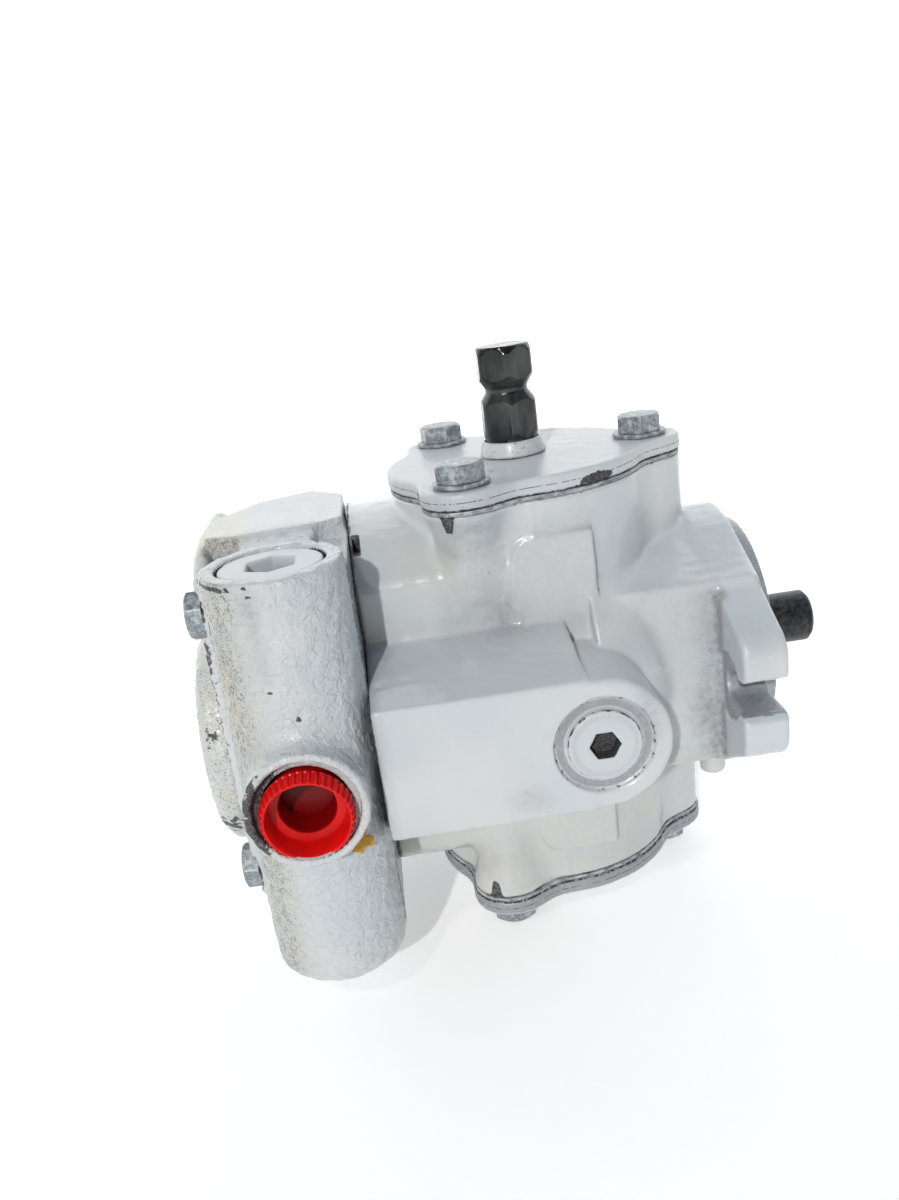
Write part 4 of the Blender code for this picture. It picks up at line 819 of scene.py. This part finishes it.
def end_cap_wear_and_shade(p):
    x, y, z = p.T
    turn = np.degrees(np.arctan2(y + CYLINDER_Y, x - CYLINDER_X))
    on_front = (np.hypot(x - CYLINDER_X, y + CYLINDER_Y) > 20.5) & (y < -40)
    left = np.clip((-turn - 105) / 28, 0, 1) * (turn < 0) * on_front
    edge = np.clip(1 - np.abs(-turn - 160 + 0.12 * (z - 30)) / 3.2, 0, 1) * on_front * (z > 4) * (z < 66)
    bare_and_shade = 0.66 * edge
    rim = np.clip(1 - np.abs(z - 66.9) / 1.5, 0, 1) * on_front * np.clip((-turn - 108) / 14, 0, 1) * (turn < 0)
    bare_and_shade = np.maximum(bare_and_shade, 0.82 * rim)
    for c in ((-89.4, -88.0, 67.4), (-88.7, -88.2, 64.7), (-87.9, -88.3, 35.5)):
        bare_and_shade = np.maximum(bare_and_shade, 0.9 * near(p, c, (1.2, 2.0, 0.7)))
    bare_and_shade = np.maximum(bare_and_shade, 1.0 * near(p, (-81.1, -88.8, 26.2), (0.9, 2.0, 0.9)))
    around = np.hypot(x - CYLINDER_X, z - PORT_Z)
    face = (y < -95.0) & (around > 15.5)
    bare_and_shade = np.maximum(bare_and_shade, 0.64 * face * np.clip((-(x - CYLINDER_X) - 9) / 5, 0, 1))
    # Painted shade: the counterbore floor left of the port cap is drawn dark, in the gap between cap and bore.
    seat = (y < -90) * (around < 15.9) * (around > 13.9)
    bare_and_shade = np.maximum(bare_and_shade, 0.85 * seat * np.clip((CYLINDER_X - 4 - x) / 5, 0, 1))
    bare_and_shade = np.maximum(bare_and_shade, 0.5 * np.exp(-(((around - 16.0) / 0.3) ** 2)) * (y < -92))
    joint = np.clip(1 - (CAP_FRONT_X - x) / 0.7, 0, 1)
    bare_and_shade = np.maximum(bare_and_shade, 0.30 * joint)
    bare_and_shade = np.maximum(bare_and_shade, 0.6 * near(p, (-112, -44, 10), (4, 4, 26)) + 0.5 * near(p, (-111, -47, 40), (2, 3, 16)))
    bare_and_shade = np.maximum(bare_and_shade, 0.55 * (np.hypot(np.abs(y) - 39.5, np.abs(z) - 47.2) < 9.6) * (x < -109))
    # Painted shade: the groove round the front valve plug is drawn dark on the sides where it shows open.
    reach = np.hypot(x - CYLINDER_X, y + CYLINDER_Y)
    painted_groove_shade = (reach < 17.3) & (z < 67.9) & (z > 55) & (y < -40)
    shaded_side = np.maximum(np.clip((x + 76) / 6, 0, 1) * (y > -70), 0.8 * (x < -95) * (y < -60))
    bare_and_shade = np.maximum(bare_and_shade, 0.85 * painted_groove_shade * shaded_side)
    warm = 0.45 * left + 0.8 * near(p, (-102, -79, 30), (5, 6, 12)) + 0.75 * within(p, (-112, -32, 66), (-99, 25, 70), 8)
    warm += 0.3 * near(p, (-104, -75, 50), (5, 8, 20))
    speckle = 1.0 * left + 0.5 * near(p, (-100, -82, 62), (10, 8, 6)) + 0.35 * (x < -108)
    crown_front = within(p, (-109, -31, 58), (-95, -25, 68.3), 1.0)
    speckle = np.maximum(speckle, 0.95 * crown_front * (z < 68.2))
    speckle += 0.4 * near(p, (-66, -30, 66), (5, 8, 5)) + 0.3 * near(p, (-96, -84, -20), (8, 8, 12))
    speckle += 0.4 * np.clip(1 - (CAP_FRONT_X - x) / 4, 0, 1)
    grime_and_shade = 0.5 * crown_front + 0.4 * near(p, (-88.5, -88, 52), (2.5, 4, 16)) + 0.42 * left
    grime_and_shade += 0.35 * near(p, (-104, -75, -4), (6, 10, 14)) + 0.4 * joint
    grime_and_shade += 0.25 * near(p, (-90, -88, 62), (5, 5, 5))
    return {"bare_and_shade": bare_and_shade, "grime_and_shade": grime_and_shade, "speckle": speckle, "warm": warm}


def end_cap():
    g = Grid((-113, -98, -70), (-60, 98, 70), CASTING_STEP * 0.9)
    points, quads = surface(end_cap_field(g), g)
    outward = normals_of(points, quads)
    x, y, z = points.T
    around = np.hypot(x - CYLINDER_X, z - PORT_Z)
    inner = (np.hypot(x - CYLINDER_X, np.abs(y) - CYLINDER_Y) < 17.5) & (z > 40)
    machined = (np.abs(y) > 96.2) | (around < 16.4) & (np.abs(y) > 66) | inner | (x > CAP_FRONT_X - 0.4)
    sanded = (z > 68.2) & (np.abs(y) < 40)
    rough = 0.09 * ripple(points, 5.2, 3) + 0.06 * ripple(points, 2.6, 4)
    rough += 0.08 * ripple(points, 14.0, 5)
    height = np.where(machined | sanded, 0.02, 1.0) * rough
    points = points + outward * height[:, None]
    piece("end_cap_casting", points, quads, "casing", "cast_paint", ["end_cap"], end_cap_wear_and_shade(points))


# ---------------------------------------------------------------- covers, shims and bolts


def slab(outline, low, high, edge):
    """Plate with rounded rims from an outline, as points and faces."""
    count = len(outline)
    line = np.array(outline)
    ahead = np.roll(line, -1, 0) - np.roll(line, 1, 0)
    outward = np.stack([ahead[:, 1], -ahead[:, 0]], 1)
    outward /= np.linalg.norm(outward, axis=1)[:, None]
    levels = [(edge, low), (0.3 * edge, low + 0.3 * edge), (0.0, low + edge)]
    levels += [(0.0, high - edge), (0.3 * edge, high - 0.3 * edge), (edge, high)]
    points = [np.column_stack([line - outward * i, np.full(count, h)]) for i, h in levels]
    faces = []
    for r in range(len(levels) - 1):
        for s in range(count):
            n = (s + 1) % count
            faces.append((r * count + s, r * count + n, (r + 1) * count + n, (r + 1) * count + s))
    faces.append(tuple(range(count))[::-1])
    faces.append(tuple(range((len(levels) - 1) * count, len(levels) * count)))
    return np.concatenate(points), faces


def cover_wear(p, side):
    x, y, z = p.T
    level = np.abs(z)
    if side > 0:
        bare_and_shade = 1.15 * near(p, (21.0, -39.5, 72.9), (6.4, 8, 2.0))
    else:
        bare_and_shade = 1.3 * within(p, (15.5, -46, -73.6), (27.5, -30, -70.6), 0.4)
    bare_and_shade = bare_and_shade * (np.hypot(x, y) > 43.2) * (level < 75.6)
    bare_and_shade = np.maximum(bare_and_shade, 0.53 * (level < 71.8))
    bare_and_shade = np.maximum(bare_and_shade, 0.42 * np.exp(-(((level - 73.6) / 0.3) ** 2)) * (side > 0))
    bare_and_shade = np.maximum(bare_and_shade, 0.55 * near(p, (-37, -32, 73 * side), (4, 5, 3)))
    speckle = 0.55 * near(p, (-22, -52, 74 * side), (16, 6, 5)) + 0.2 * (level < 73) * (side > 0)
    grime_and_shade = 0.35 * near(p, (-22, -50, 73 * side), (16, 8, 4))
    milled = 0.62 * (side < 0) * (level < 76.0) * (np.hypot(x, y) > 43)
    for t in BOLT_TURNS:
        cx, cy = DISC_RADIUS * math.cos(math.radians(t)), DISC_RADIUS * math.sin(math.radians(t))
        ring = np.hypot(x - cx, y - cy)
        grime_and_shade = grime_and_shade + 0.75 * np.exp(-(((ring - 9.6) / 0.9) ** 2)) * (level > 76)
    return {"bare_and_shade": bare_and_shade, "speckle": speckle, "grime_and_shade": grime_and_shade, "milled": milled}


def refined(points, faces, steps):
    """Split a slab's long flat caps into rings, so that masks painted on them show."""
    mesh = bpy.data.meshes.new("refined")
    mesh.from_pydata(points.tolist(), [], [list(map(int, f)) for f in faces])
    bm = bmesh.new()
    bm.from_mesh(mesh)
    bpy.data.meshes.remove(mesh)
    caps = [f for f in bm.faces if len(f.verts) > 4]
    for _ in range(steps):
        result = bmesh.ops.inset_region(bm, faces=caps, thickness=1.6, use_even_offset=True)
        del result
    bm.verts.ensure_lookup_table()
    out = np.array([v.co for v in bm.verts], float)
    shapes = [[v.index for v in f.verts] for f in bm.faces]
    bm.free()
    return out, shapes


def covers():
    for side, name in ((1, "upper"), (-1, "lower")):
        g = Grid((-50, -55, 65), (61, 55, 78), 0.7)
        shape = extruded(cover_shape(g.x, g.y, 0.0), g.z, COVER_LOW, COVER_TOP, 1.1)
        shape = merge(shape, rod(g.x, g.y, g.z, (0, 0), 26.8, 65.2, 72.0, 0.3), 0.3)
        if side > 0:
            shape = remove(shape, rod(g.x, g.y, g.z, (0, 0), 9.6, 60.0, 80.0, 0.2), 0.3)
        points, quads = surface(shape, g)
        outward = normals_of(points, quads)
        rough = 0.05 * ripple(points, 9.0, 6) + 0.02 * ripple(points, 3.0, 7)
        points = points + outward * rough[:, None]
        if side < 0:
            points = points * (1, -1, -1)
        node = f"{name}_trunnion_cover"
        piece(f"{name}_cover_plate", points, quads, "casing", "cover_paint", [node], cover_wear(points, side))
        points, faces = slab(cover_outline(0.4), 69.7, 71.0, 0.1)
        if side < 0:
            points = points * (1, -1, -1)
        piece(f"{name}_shim_stack", points, faces, "casing", "shim", [f"{name}_cover_shim"], None, 35)


def bolt_piece(node, direction, place, corner, stem):
    """Hex head with a turned chamfer, on its shank; its seat is at height 0."""
    profile = [(0.0, 5.7), (3.0, 5.74), (6.55, 5.7), (6.75, 5.66)]
    profile += [(6.75 + 0.16 * i, 5.66 - 0.1 * i) for i in range(1, 11)]
    profile += [(9.0, 0.15), (8.0, 0.0), (4.6, 0.0), (4.6, -stem + 1.0), (3.8, -stem), (0.0, -stem)]
    limit = hex_limit(BOLT_FLATS, corner, BOLT_FLATS / math.sqrt(3) - 0.15)
    points, faces = lathe(profile, 144, direction, place, None, limit)
    piece(f"{node}_head", points, faces, "casing", "zinc", [node], None, 24)


def fasteners():
    seat = COVER_TOP + 0.15
    head = seat + 1.55
    ring = [(5.1, 1.4), (WASHER_RADIUS, 1.4), (WASHER_RADIUS, 0.0), (5.1, 0.0)]
    count = 0
    for direction in ("+Z", "-Z"):
        side = 1 if direction == "+Z" else -1
        for t in BOLT_TURNS:
            count += 1
            x, y = DISC_RADIUS * math.cos(math.radians(t)), DISC_RADIUS * math.sin(math.radians(t))
            bolt_piece(f"cover_bolt_{count}", direction, (x, y, side * head), BOLT_CORNERS[count - 1], 20.0)
            profile = eased([ring[0]] + ring[1:] + [ring[0]], 0.3)
            washer, faces = lathe(profile, 48, direction, (x, y, side * seat))
            node = f"cover_washer_{count}"
            piece(f"{node}_ring", washer, faces, "casing", "zinc", [node], None, 40)
    for i, (y, z) in enumerate(END_BOLTS):
        bolt_piece(f"end_cap_bolt_{i + 1}", "-X", (-110.15, y, z), 12.5 + 17.5 * i, 30.0)


# ---------------------------------------------------------------- shafts, plugs and caps


def control_shaft():
    """Hexagonal bar whose corners are turned off towards its top, its groove and its foot."""
    full = CONTROL_FLATS / math.sqrt(3) - 0.45
    key = [(0.0, CONTROL_TOP), (CONTROL_FLATS / 2 - 0.5, CONTROL_TOP), (CONTROL_FLATS / 2, CONTROL_TOP - 0.4)]
    key += [(full, CONTROL_TOP - 2.4), (full, 104.2), (7.5, 100.3), (7.3, 99.8), (7.3, 98.8), (7.6, 98.2)]
    key += [(full, 94.8), (full, 85.0), (9.1, 83.0), (9.1, 65.0), (8.0, 64.6), (8.0, 50.6), (0.0, 50.6)]
    profile = [key[0]]
    for (r0, h0), (r1, h1) in zip(key, key[1:]):
        steps = max(1, int(abs(r1 - r0) / 0.12)) if h1 < CONTROL_TOP else 1
        steps = min(steps, 40)
        profile += [(r0 + (r1 - r0) * i / steps, h0 + (h1 - h0) * i / steps) for i in range(1, steps + 1)]
    limit = hex_limit(CONTROL_FLATS, -90.0, full)
    points, quads = lathe(profile, 180, "+Z", (0, 0, 0), None, limit)
    piece("control_shaft_bar", points, quads, "swash", "polished", ["control_shaft"], None, 18)
    base = COVER_TOP + 0.3
    profile = [(9.5, base + 5.2), (9.9, base + 5.2), (10.25, base + 4.7), (11.35, base + 0.6)]
    profile += [(11.4, base), (9.5, base), (9.5, base + 5.2)]
    points, faces = lathe(eased(profile, 0.25), 72, "+Z", (0, 0, 0))
    grime_and_shade = 0.3 * (points[:, 2] > base + 4.5) + 0.6 * (points[:, 2] < base + 0.7)
    speckle = np.full(len(points), 0.75)
    wear_and_shade = {"grime_and_shade": grime_and_shade, "speckle": speckle}
    piece("control_shaft_collar", points, faces, "casing", "cover_paint", ["control_shaft_boot"], wear_and_shade, 40)


def input_shaft():
    profile = [(0.0, 104.1), (8.0, 104.1), (9.525, 102.6), (9.525, 31.6), (12.5, 31.6), (12.5, 27.8)]
    profile += [(9.525, 27.8), (9.525, -96.0), (6.5, -98.0), (6.5, -120.0), (0.0, -120.0)]
    points, faces = lathe(eased(profile, 0.25), 96, "+X", (0, 0, 0))
    outward = np.stack([np.zeros(len(points)), points[:, 1], points[:, 2]], 1) / 9.5
    points = points + outward * (0.03 * ripple(points, 3.0, 8))[:, None]
    piece("input_shaft_turned", points, faces, "rotating_group", "blackened", ["input_shaft"], None, 40)


def charge_cover():
    front, rear, radius = -112.3, -122.8, 40.0
    profile = [(0.0, rear), (12.0, rear), (24.0, rear)]
    profile += [(34.0, rear)] + arc((34.0, rear + 6.0), 6.0, -90.0, 0.0, 6)[1:]
    profile += [(40.0, front - 2.0), (radius, front), (23.0, front), (23.0, -120.4), (0.0, -120.4)]
    profile = [(r, h) for r, h in profile][::-1]
    points, faces = lathe(eased(profile, 0.2), 160, "+X", (0, 0, CHARGE_Z))
    outward = normals_of(points, faces)
    rough = 0.12 * ripple(points, 6.0, 9) + 0.08 * ripple(points, 2.8, 10)
    points = points + outward * (rough * (points[:, 0] < front - 1))[:, None]
    x, y, z = points.T
    bare_and_shade = 0.62 * near(points, (-118, -36, -34), (8, 12, 10)) + 0.5 * near(points, (-118, -38, 2), (8, 10, 10))
    bare_and_shade = np.maximum(bare_and_shade, 0.5 * (x > front - 1.5))
    speckle = 0.6 + 0.2 * (y < -20)
    wear_and_shade = {"bare_and_shade": bare_and_shade, "speckle": speckle, "warm": np.full(len(points), 0.3)}
    piece("charge_cover_casting", points, faces, "casing", "cast_paint", ["charge_pump_cover"], wear_and_shade)


def valve_plug(name, side):
    height = (FRONT_TOP if side < 0 else REAR_TOP) - 0.7
    g = Grid((-17, -17, -20), (17, 17, 0.2), 0.5)
    shape = rod(g.x, g.y, g.z, (0, 0), 15.9, -5.6, 0.0, 0.7)
    shape = merge(shape, rod(g.x, g.y, g.z, (0, 0), 13.2, -20.0, -5.0, 0.3), 0.3)
    socket = extruded(hexagon(g.x, g.y, 14.3, 0.0), g.z, -9.0, 3.0, 0.3)
    shape = remove(shape, socket, 1.0)
    points, quads = surface(shape, g)
    # Painted shade: the socket's right half darkens with depth, and the plug's side below its top, down in the bore,
    # is drawn dark.
    deep = np.clip((-points[:, 2] - 1.2) / 4, 0, 1)
    inside = np.hypot(points[:, 0], points[:, 1]) < 8.6
    wear_and_shade = {"grime_and_shade": 0.75 * deep * inside * (points[:, 0] > 0), "bare_and_shade": 0.8 * deep * ~inside}
    placed = aimed(points, "+Z", (CYLINDER_X, side * CYLINDER_Y, height))
    piece(f"{name}_head", placed, quads, "casing", "cover_paint", [name], wear_and_shade)


def drain_plug():
    g = Grid((-12.5, -12.5, -13.5), (12.5, 12.5, 0.2), FINE_STEP)
    shape = rod(g.x, g.y, g.z, (0, 0), 11.6, -1.8, 0.0, 0.6)
    shape = merge(shape, rod(g.x, g.y, g.z, (0, 0), 9.2, -13.4, -1.0, 0.3), 0.3)
    socket = extruded(hexagon(g.x, g.y, 8.5, 0.0), g.z, -5.5, 3.0, 0.3)
    shape = remove(shape, socket, 0.35)
    points, quads = surface(shape, g)
    radius = np.hypot(points[:, 0], points[:, 1])
    bare_and_shade = 1.4 * (radius < 5.4) * (points[:, 2] < -0.2) + 0.5 * np.exp(-(((radius - 11.5) / 0.4) ** 2))
    wear_and_shade = {"bare_and_shade": bare_and_shade, "grime_and_shade": 0.25 * np.exp(-(((radius - 9.8) / 1.0) ** 2)), "speckle": 0.25 + 0 * radius}
    placed = aimed(points, "-Y", (BOSS_X, BLOCK_FACE_Y - 0.7, 0.0))
    piece("drain_plug_head", placed, quads, "casing", "cover_paint", ["drain_plug"], wear_and_shade)


def port_cap(name, direction, body):
    """Hollow cap with a knurled skirt, pushed in slightly nose-down."""
    rim, seat = PORT_FACE_Y + 2.75, PORT_FACE_Y - 2.1
    ledge, floor, end = PORT_FACE_Y - 4.5, PORT_FACE_Y - 14.2, PORT_FACE_Y - 15.0
    profile = [(0.0, end), (12.0, end), (12.3, end + 0.4), (12.5, seat), (14.0, seat), (14.25, seat + 0.3)]
    profile += [(14.25, rim - 2.4), (13.75, rim - 0.5), (13.45, rim), (12.6, rim), (12.35, rim - 0.3)]
    profile += [(11.9, ledge + 1.0), (11.4, ledge), (8.9, ledge), (8.5, ledge - 0.5), (8.3, floor + 0.6)]
    profile += [(7.8, floor), (0.0, floor)]

    def knurl(index, turns):
        if index not in (5, 6, 7, 8):
            return 0.0 * turns
        return -0.75 * np.clip(0.5 + 1.1 * np.sin(40 * turns), 0, 1) * (1.0 if index < 8 else 0.5)

    points, faces = lathe(profile, 320, "+Z", (0, 0, 0), knurl)
    # Painted shade inside the cap's cup, deepest towards its floor, set as the depth mask.
    depth = 0.9 * (points[:, 2] < ledge - 0.2) + 0.25 * (points[:, 2] < ledge + 1.2)
    inner = np.hypot(points[:, 0], points[:, 1]) < 12.5
    lean = math.radians(5.0)
    height = points[:, 2] - seat
    down = -points[:, 0]
    tilted = points.copy()
    tilted[:, 2] -= down * math.sin(lean) * (height > -1.0)
    tilted[:, 0] -= 1.7 * np.clip((points[:, 2] - end) / (rim - end), 0, 1) ** 2
    spray = (down > 11.5) * (height > 0.2) * ~inner
    points = aimed(tilted, direction, (CYLINDER_X, 0.0, PORT_Z))
    piece(f"{name}_moulding", points, faces, body, "red", [name], {"depth": depth * inner, "spray": spray}, 38)


def tape_scrap():
    """Torn scrap of masking tape left beside the port boss."""
    outline = [(-4.2, -1.6), (-1.0, -3.6), (0.6, -2.0), (3.4, -2.9), (4.1, 0.2), (1.4, 0.9), (1.9, 3.4)]
    outline += [(-0.6, 2.2), (-2.0, 4.0), (-2.6, 1.0)]
    points, faces = [], []
    for depth in (0.0, 0.35):
        for u, v in outline:
            points.append((u, depth + 0.25 * math.sin(u * 1.3) + 0.2 * math.cos(v), v))
    count = len(outline)
    faces.append(tuple(range(count)))
    faces.append(tuple(range(count, 2 * count))[::-1])
    for i in range(count):
        n = (i + 1) % count
        faces.append((i, n, n + count, i + count)[::-1])
    turn = Matrix.Rotation(math.radians(34), 3, "Z")
    placed = [turn @ Vector(p) + Vector((-69.4, -84.9, -19.0)) for p in points]
    piece("tape_scrap", [tuple(p) for p in placed], faces, "casing", "tape", None, None, 30)


# ---------------------------------------------------------------- pieces that stay CAD

CAD_FINISH = {
    "end_cap_gasket": "gasket",
    "upper_trunnion_bearing": "iron",
    "lower_trunnion_bearing": "iron",
    "swashplate": "iron",
    "front_bearing": "iron",
    "rear_bearing": "iron",
    "input_shaft_seal": "rubber",
    "cylinder_block": "ground",
    "slipper_retainer": "ground",
    "retainer_guide": "ground",
    "block_spring": "ground",
    "valve_plate": "bronze",
    "charge_inner_rotor": "ground",
    "charge_outer_rotor": "iron",
}


def cad_materials():
    for name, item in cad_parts.items():
        finish = CAD_FINISH.get(name)
        if name.startswith("piston_"):
            finish = "ground"
        if name.startswith("slipper_") and name != "slipper_retainer":
            finish = "bronze"
        if finish is None:
            continue
        item.data.materials.clear()
        item.data.materials.append(MATERIALS[finish])


# ---------------------------------------------------------------- camera, light and floor


def camera():
    azimuth, elevation, roll = (math.radians(a) for a in (-1.35, 21.09, 8.19))
    back = Vector(
        (
            math.sin(azimuth) * math.cos(elevation),
            -math.cos(azimuth) * math.cos(elevation),
            math.sin(elevation),
        )
    )
    level = Vector((math.cos(azimuth), math.sin(azimuth), 0.0))
    upright = back.cross(level)
    right = level * math.cos(roll) - upright * math.sin(roll)
    up = level * math.sin(roll) + upright * math.cos(roll)
    place = Vector((-46.0 + TRUNNION_X, -377.3, 149.2)) * MM
    data = bpy.data.cameras.new("camera")
    data.sensor_width = 36.0
    data.lens = 32.33
    data.shift_x = 0.0109
    data.shift_y = 0.0509
    data.clip_start = 0.01
    item = bpy.data.objects.new("camera", data)
    item.matrix_world = Matrix(
        (
            (right.x, up.x, back.x, place.x),
            (right.y, up.y, back.y, place.y),
            (right.z, up.z, back.z, place.z),
            (0.0, 0.0, 0.0, 1.0),
        )
    )
    bpy.context.scene.collection.objects.link(item)
    bpy.context.scene.camera = item


def lamp(name, towards, spread, strength, colour):
    """Distant lamp in the given direction; its spread in degrees sets how soft its shadows are."""
    data = bpy.data.lights.new(name, "SUN")
    data.angle = math.radians(spread)
    data.energy = strength
    data.color = colour
    item = bpy.data.objects.new(name, data)
    item.rotation_euler = (-Vector(towards)).to_track_quat("-Z", "Y").to_euler()
    bpy.context.scene.collection.objects.link(item)


def lights():
    lamp("key", (-0.28, -0.855, 0.44), 1.6, 2.0, (1.0, 0.985, 0.97))
    lamp("upper_left", (-0.30, -0.63, 0.72), 2.5, 0.32, (1.0, 0.98, 0.95))
    lamp("sky_right", (0.6, 0.1, 0.7), 60.0, 0.50, (0.55, 0.80, 1.0))
    lamp("sky_left", (-0.7, 0.1, 0.6), 60.0, 0.34, (0.72, 0.90, 1.0))
    lamp("sky_top", (0.0, 0.0, 1.0), 70.0, 0.12, (0.55, 0.80, 1.0))
    lamp("low_left", (-1.0, -0.4, 0.3), 60.0, 0.12, (0.9, 1.0, 0.98))
    world = bpy.data.worlds.new("world")
    bpy.context.scene.world = world
    world.use_nodes = True
    background = world.node_tree.nodes["Background"]
    background.inputs["Color"].default_value = (1.0, 0.98, 0.94, 1.0)
    background.inputs["Strength"].default_value = 0.12
    bpy.context.scene.view_settings.view_transform = "Standard"
    bpy.context.scene.view_settings.look = "None"


def floor():
    """Floor that curves up into a backdrop far behind."""
    bottom = CAD_BOX[0].z - 0.0002
    profile = [(-4.0, 0.0), (1.2, 0.0)]
    profile += [(1.2 + 1.4 * math.sin(a), 1.4 - 1.4 * math.cos(a)) for a in np.linspace(0.1, 1.57, 16)]
    profile += [(2.6, 4.0)]
    bm = bmesh.new()
    rows = [[bm.verts.new((x, y, bottom + z)) for y, z in profile] for x in (-5.0, 5.0)]
    for i in range(len(profile) - 1):
        bm.faces.new((rows[0][i], rows[1][i], rows[1][i + 1], rows[0][i + 1]))
    mesh = bpy.data.meshes.new("floor")
    bm.to_mesh(mesh)
    bm.free()
    s = Shader("floor")
    tint = s.blend(s.noise(400.0, 2.0), (0.865, 0.865, 0.865), (0.885, 0.885, 0.885))
    split = s.tree.nodes.new("ShaderNodeSeparateXYZ")
    s.tree.links.new(s.place, split.inputs["Vector"])
    s.main.inputs["Emission Color"].default_value = (1.0, 1.0, 1.0, 1.0)
    s.link(s.ramp(split.outputs["Y"], 0.2, 1.5, 0.30, 0.62), s.main.inputs["Emission Strength"])
    mesh.materials.append(s.finish(tint, 0.8))
    item = bpy.data.objects.new("floor", mesh)
    bpy.context.scene.collection.objects.link(item)


camera()
lights()
floor()
housing()
end_cap()
covers()
fasteners()
control_shaft()
input_shaft()
charge_cover()
valve_plug("front_valve_plug", -1)
valve_plug("rear_valve_plug", 1)
drain_plug()
port_cap("front_port_cap", "-Y", "front_cap")
port_cap("rear_port_cap", "+Y", "rear_cap")
tape_scrap()
cad_materials()

bpy.context.view_layer.update()
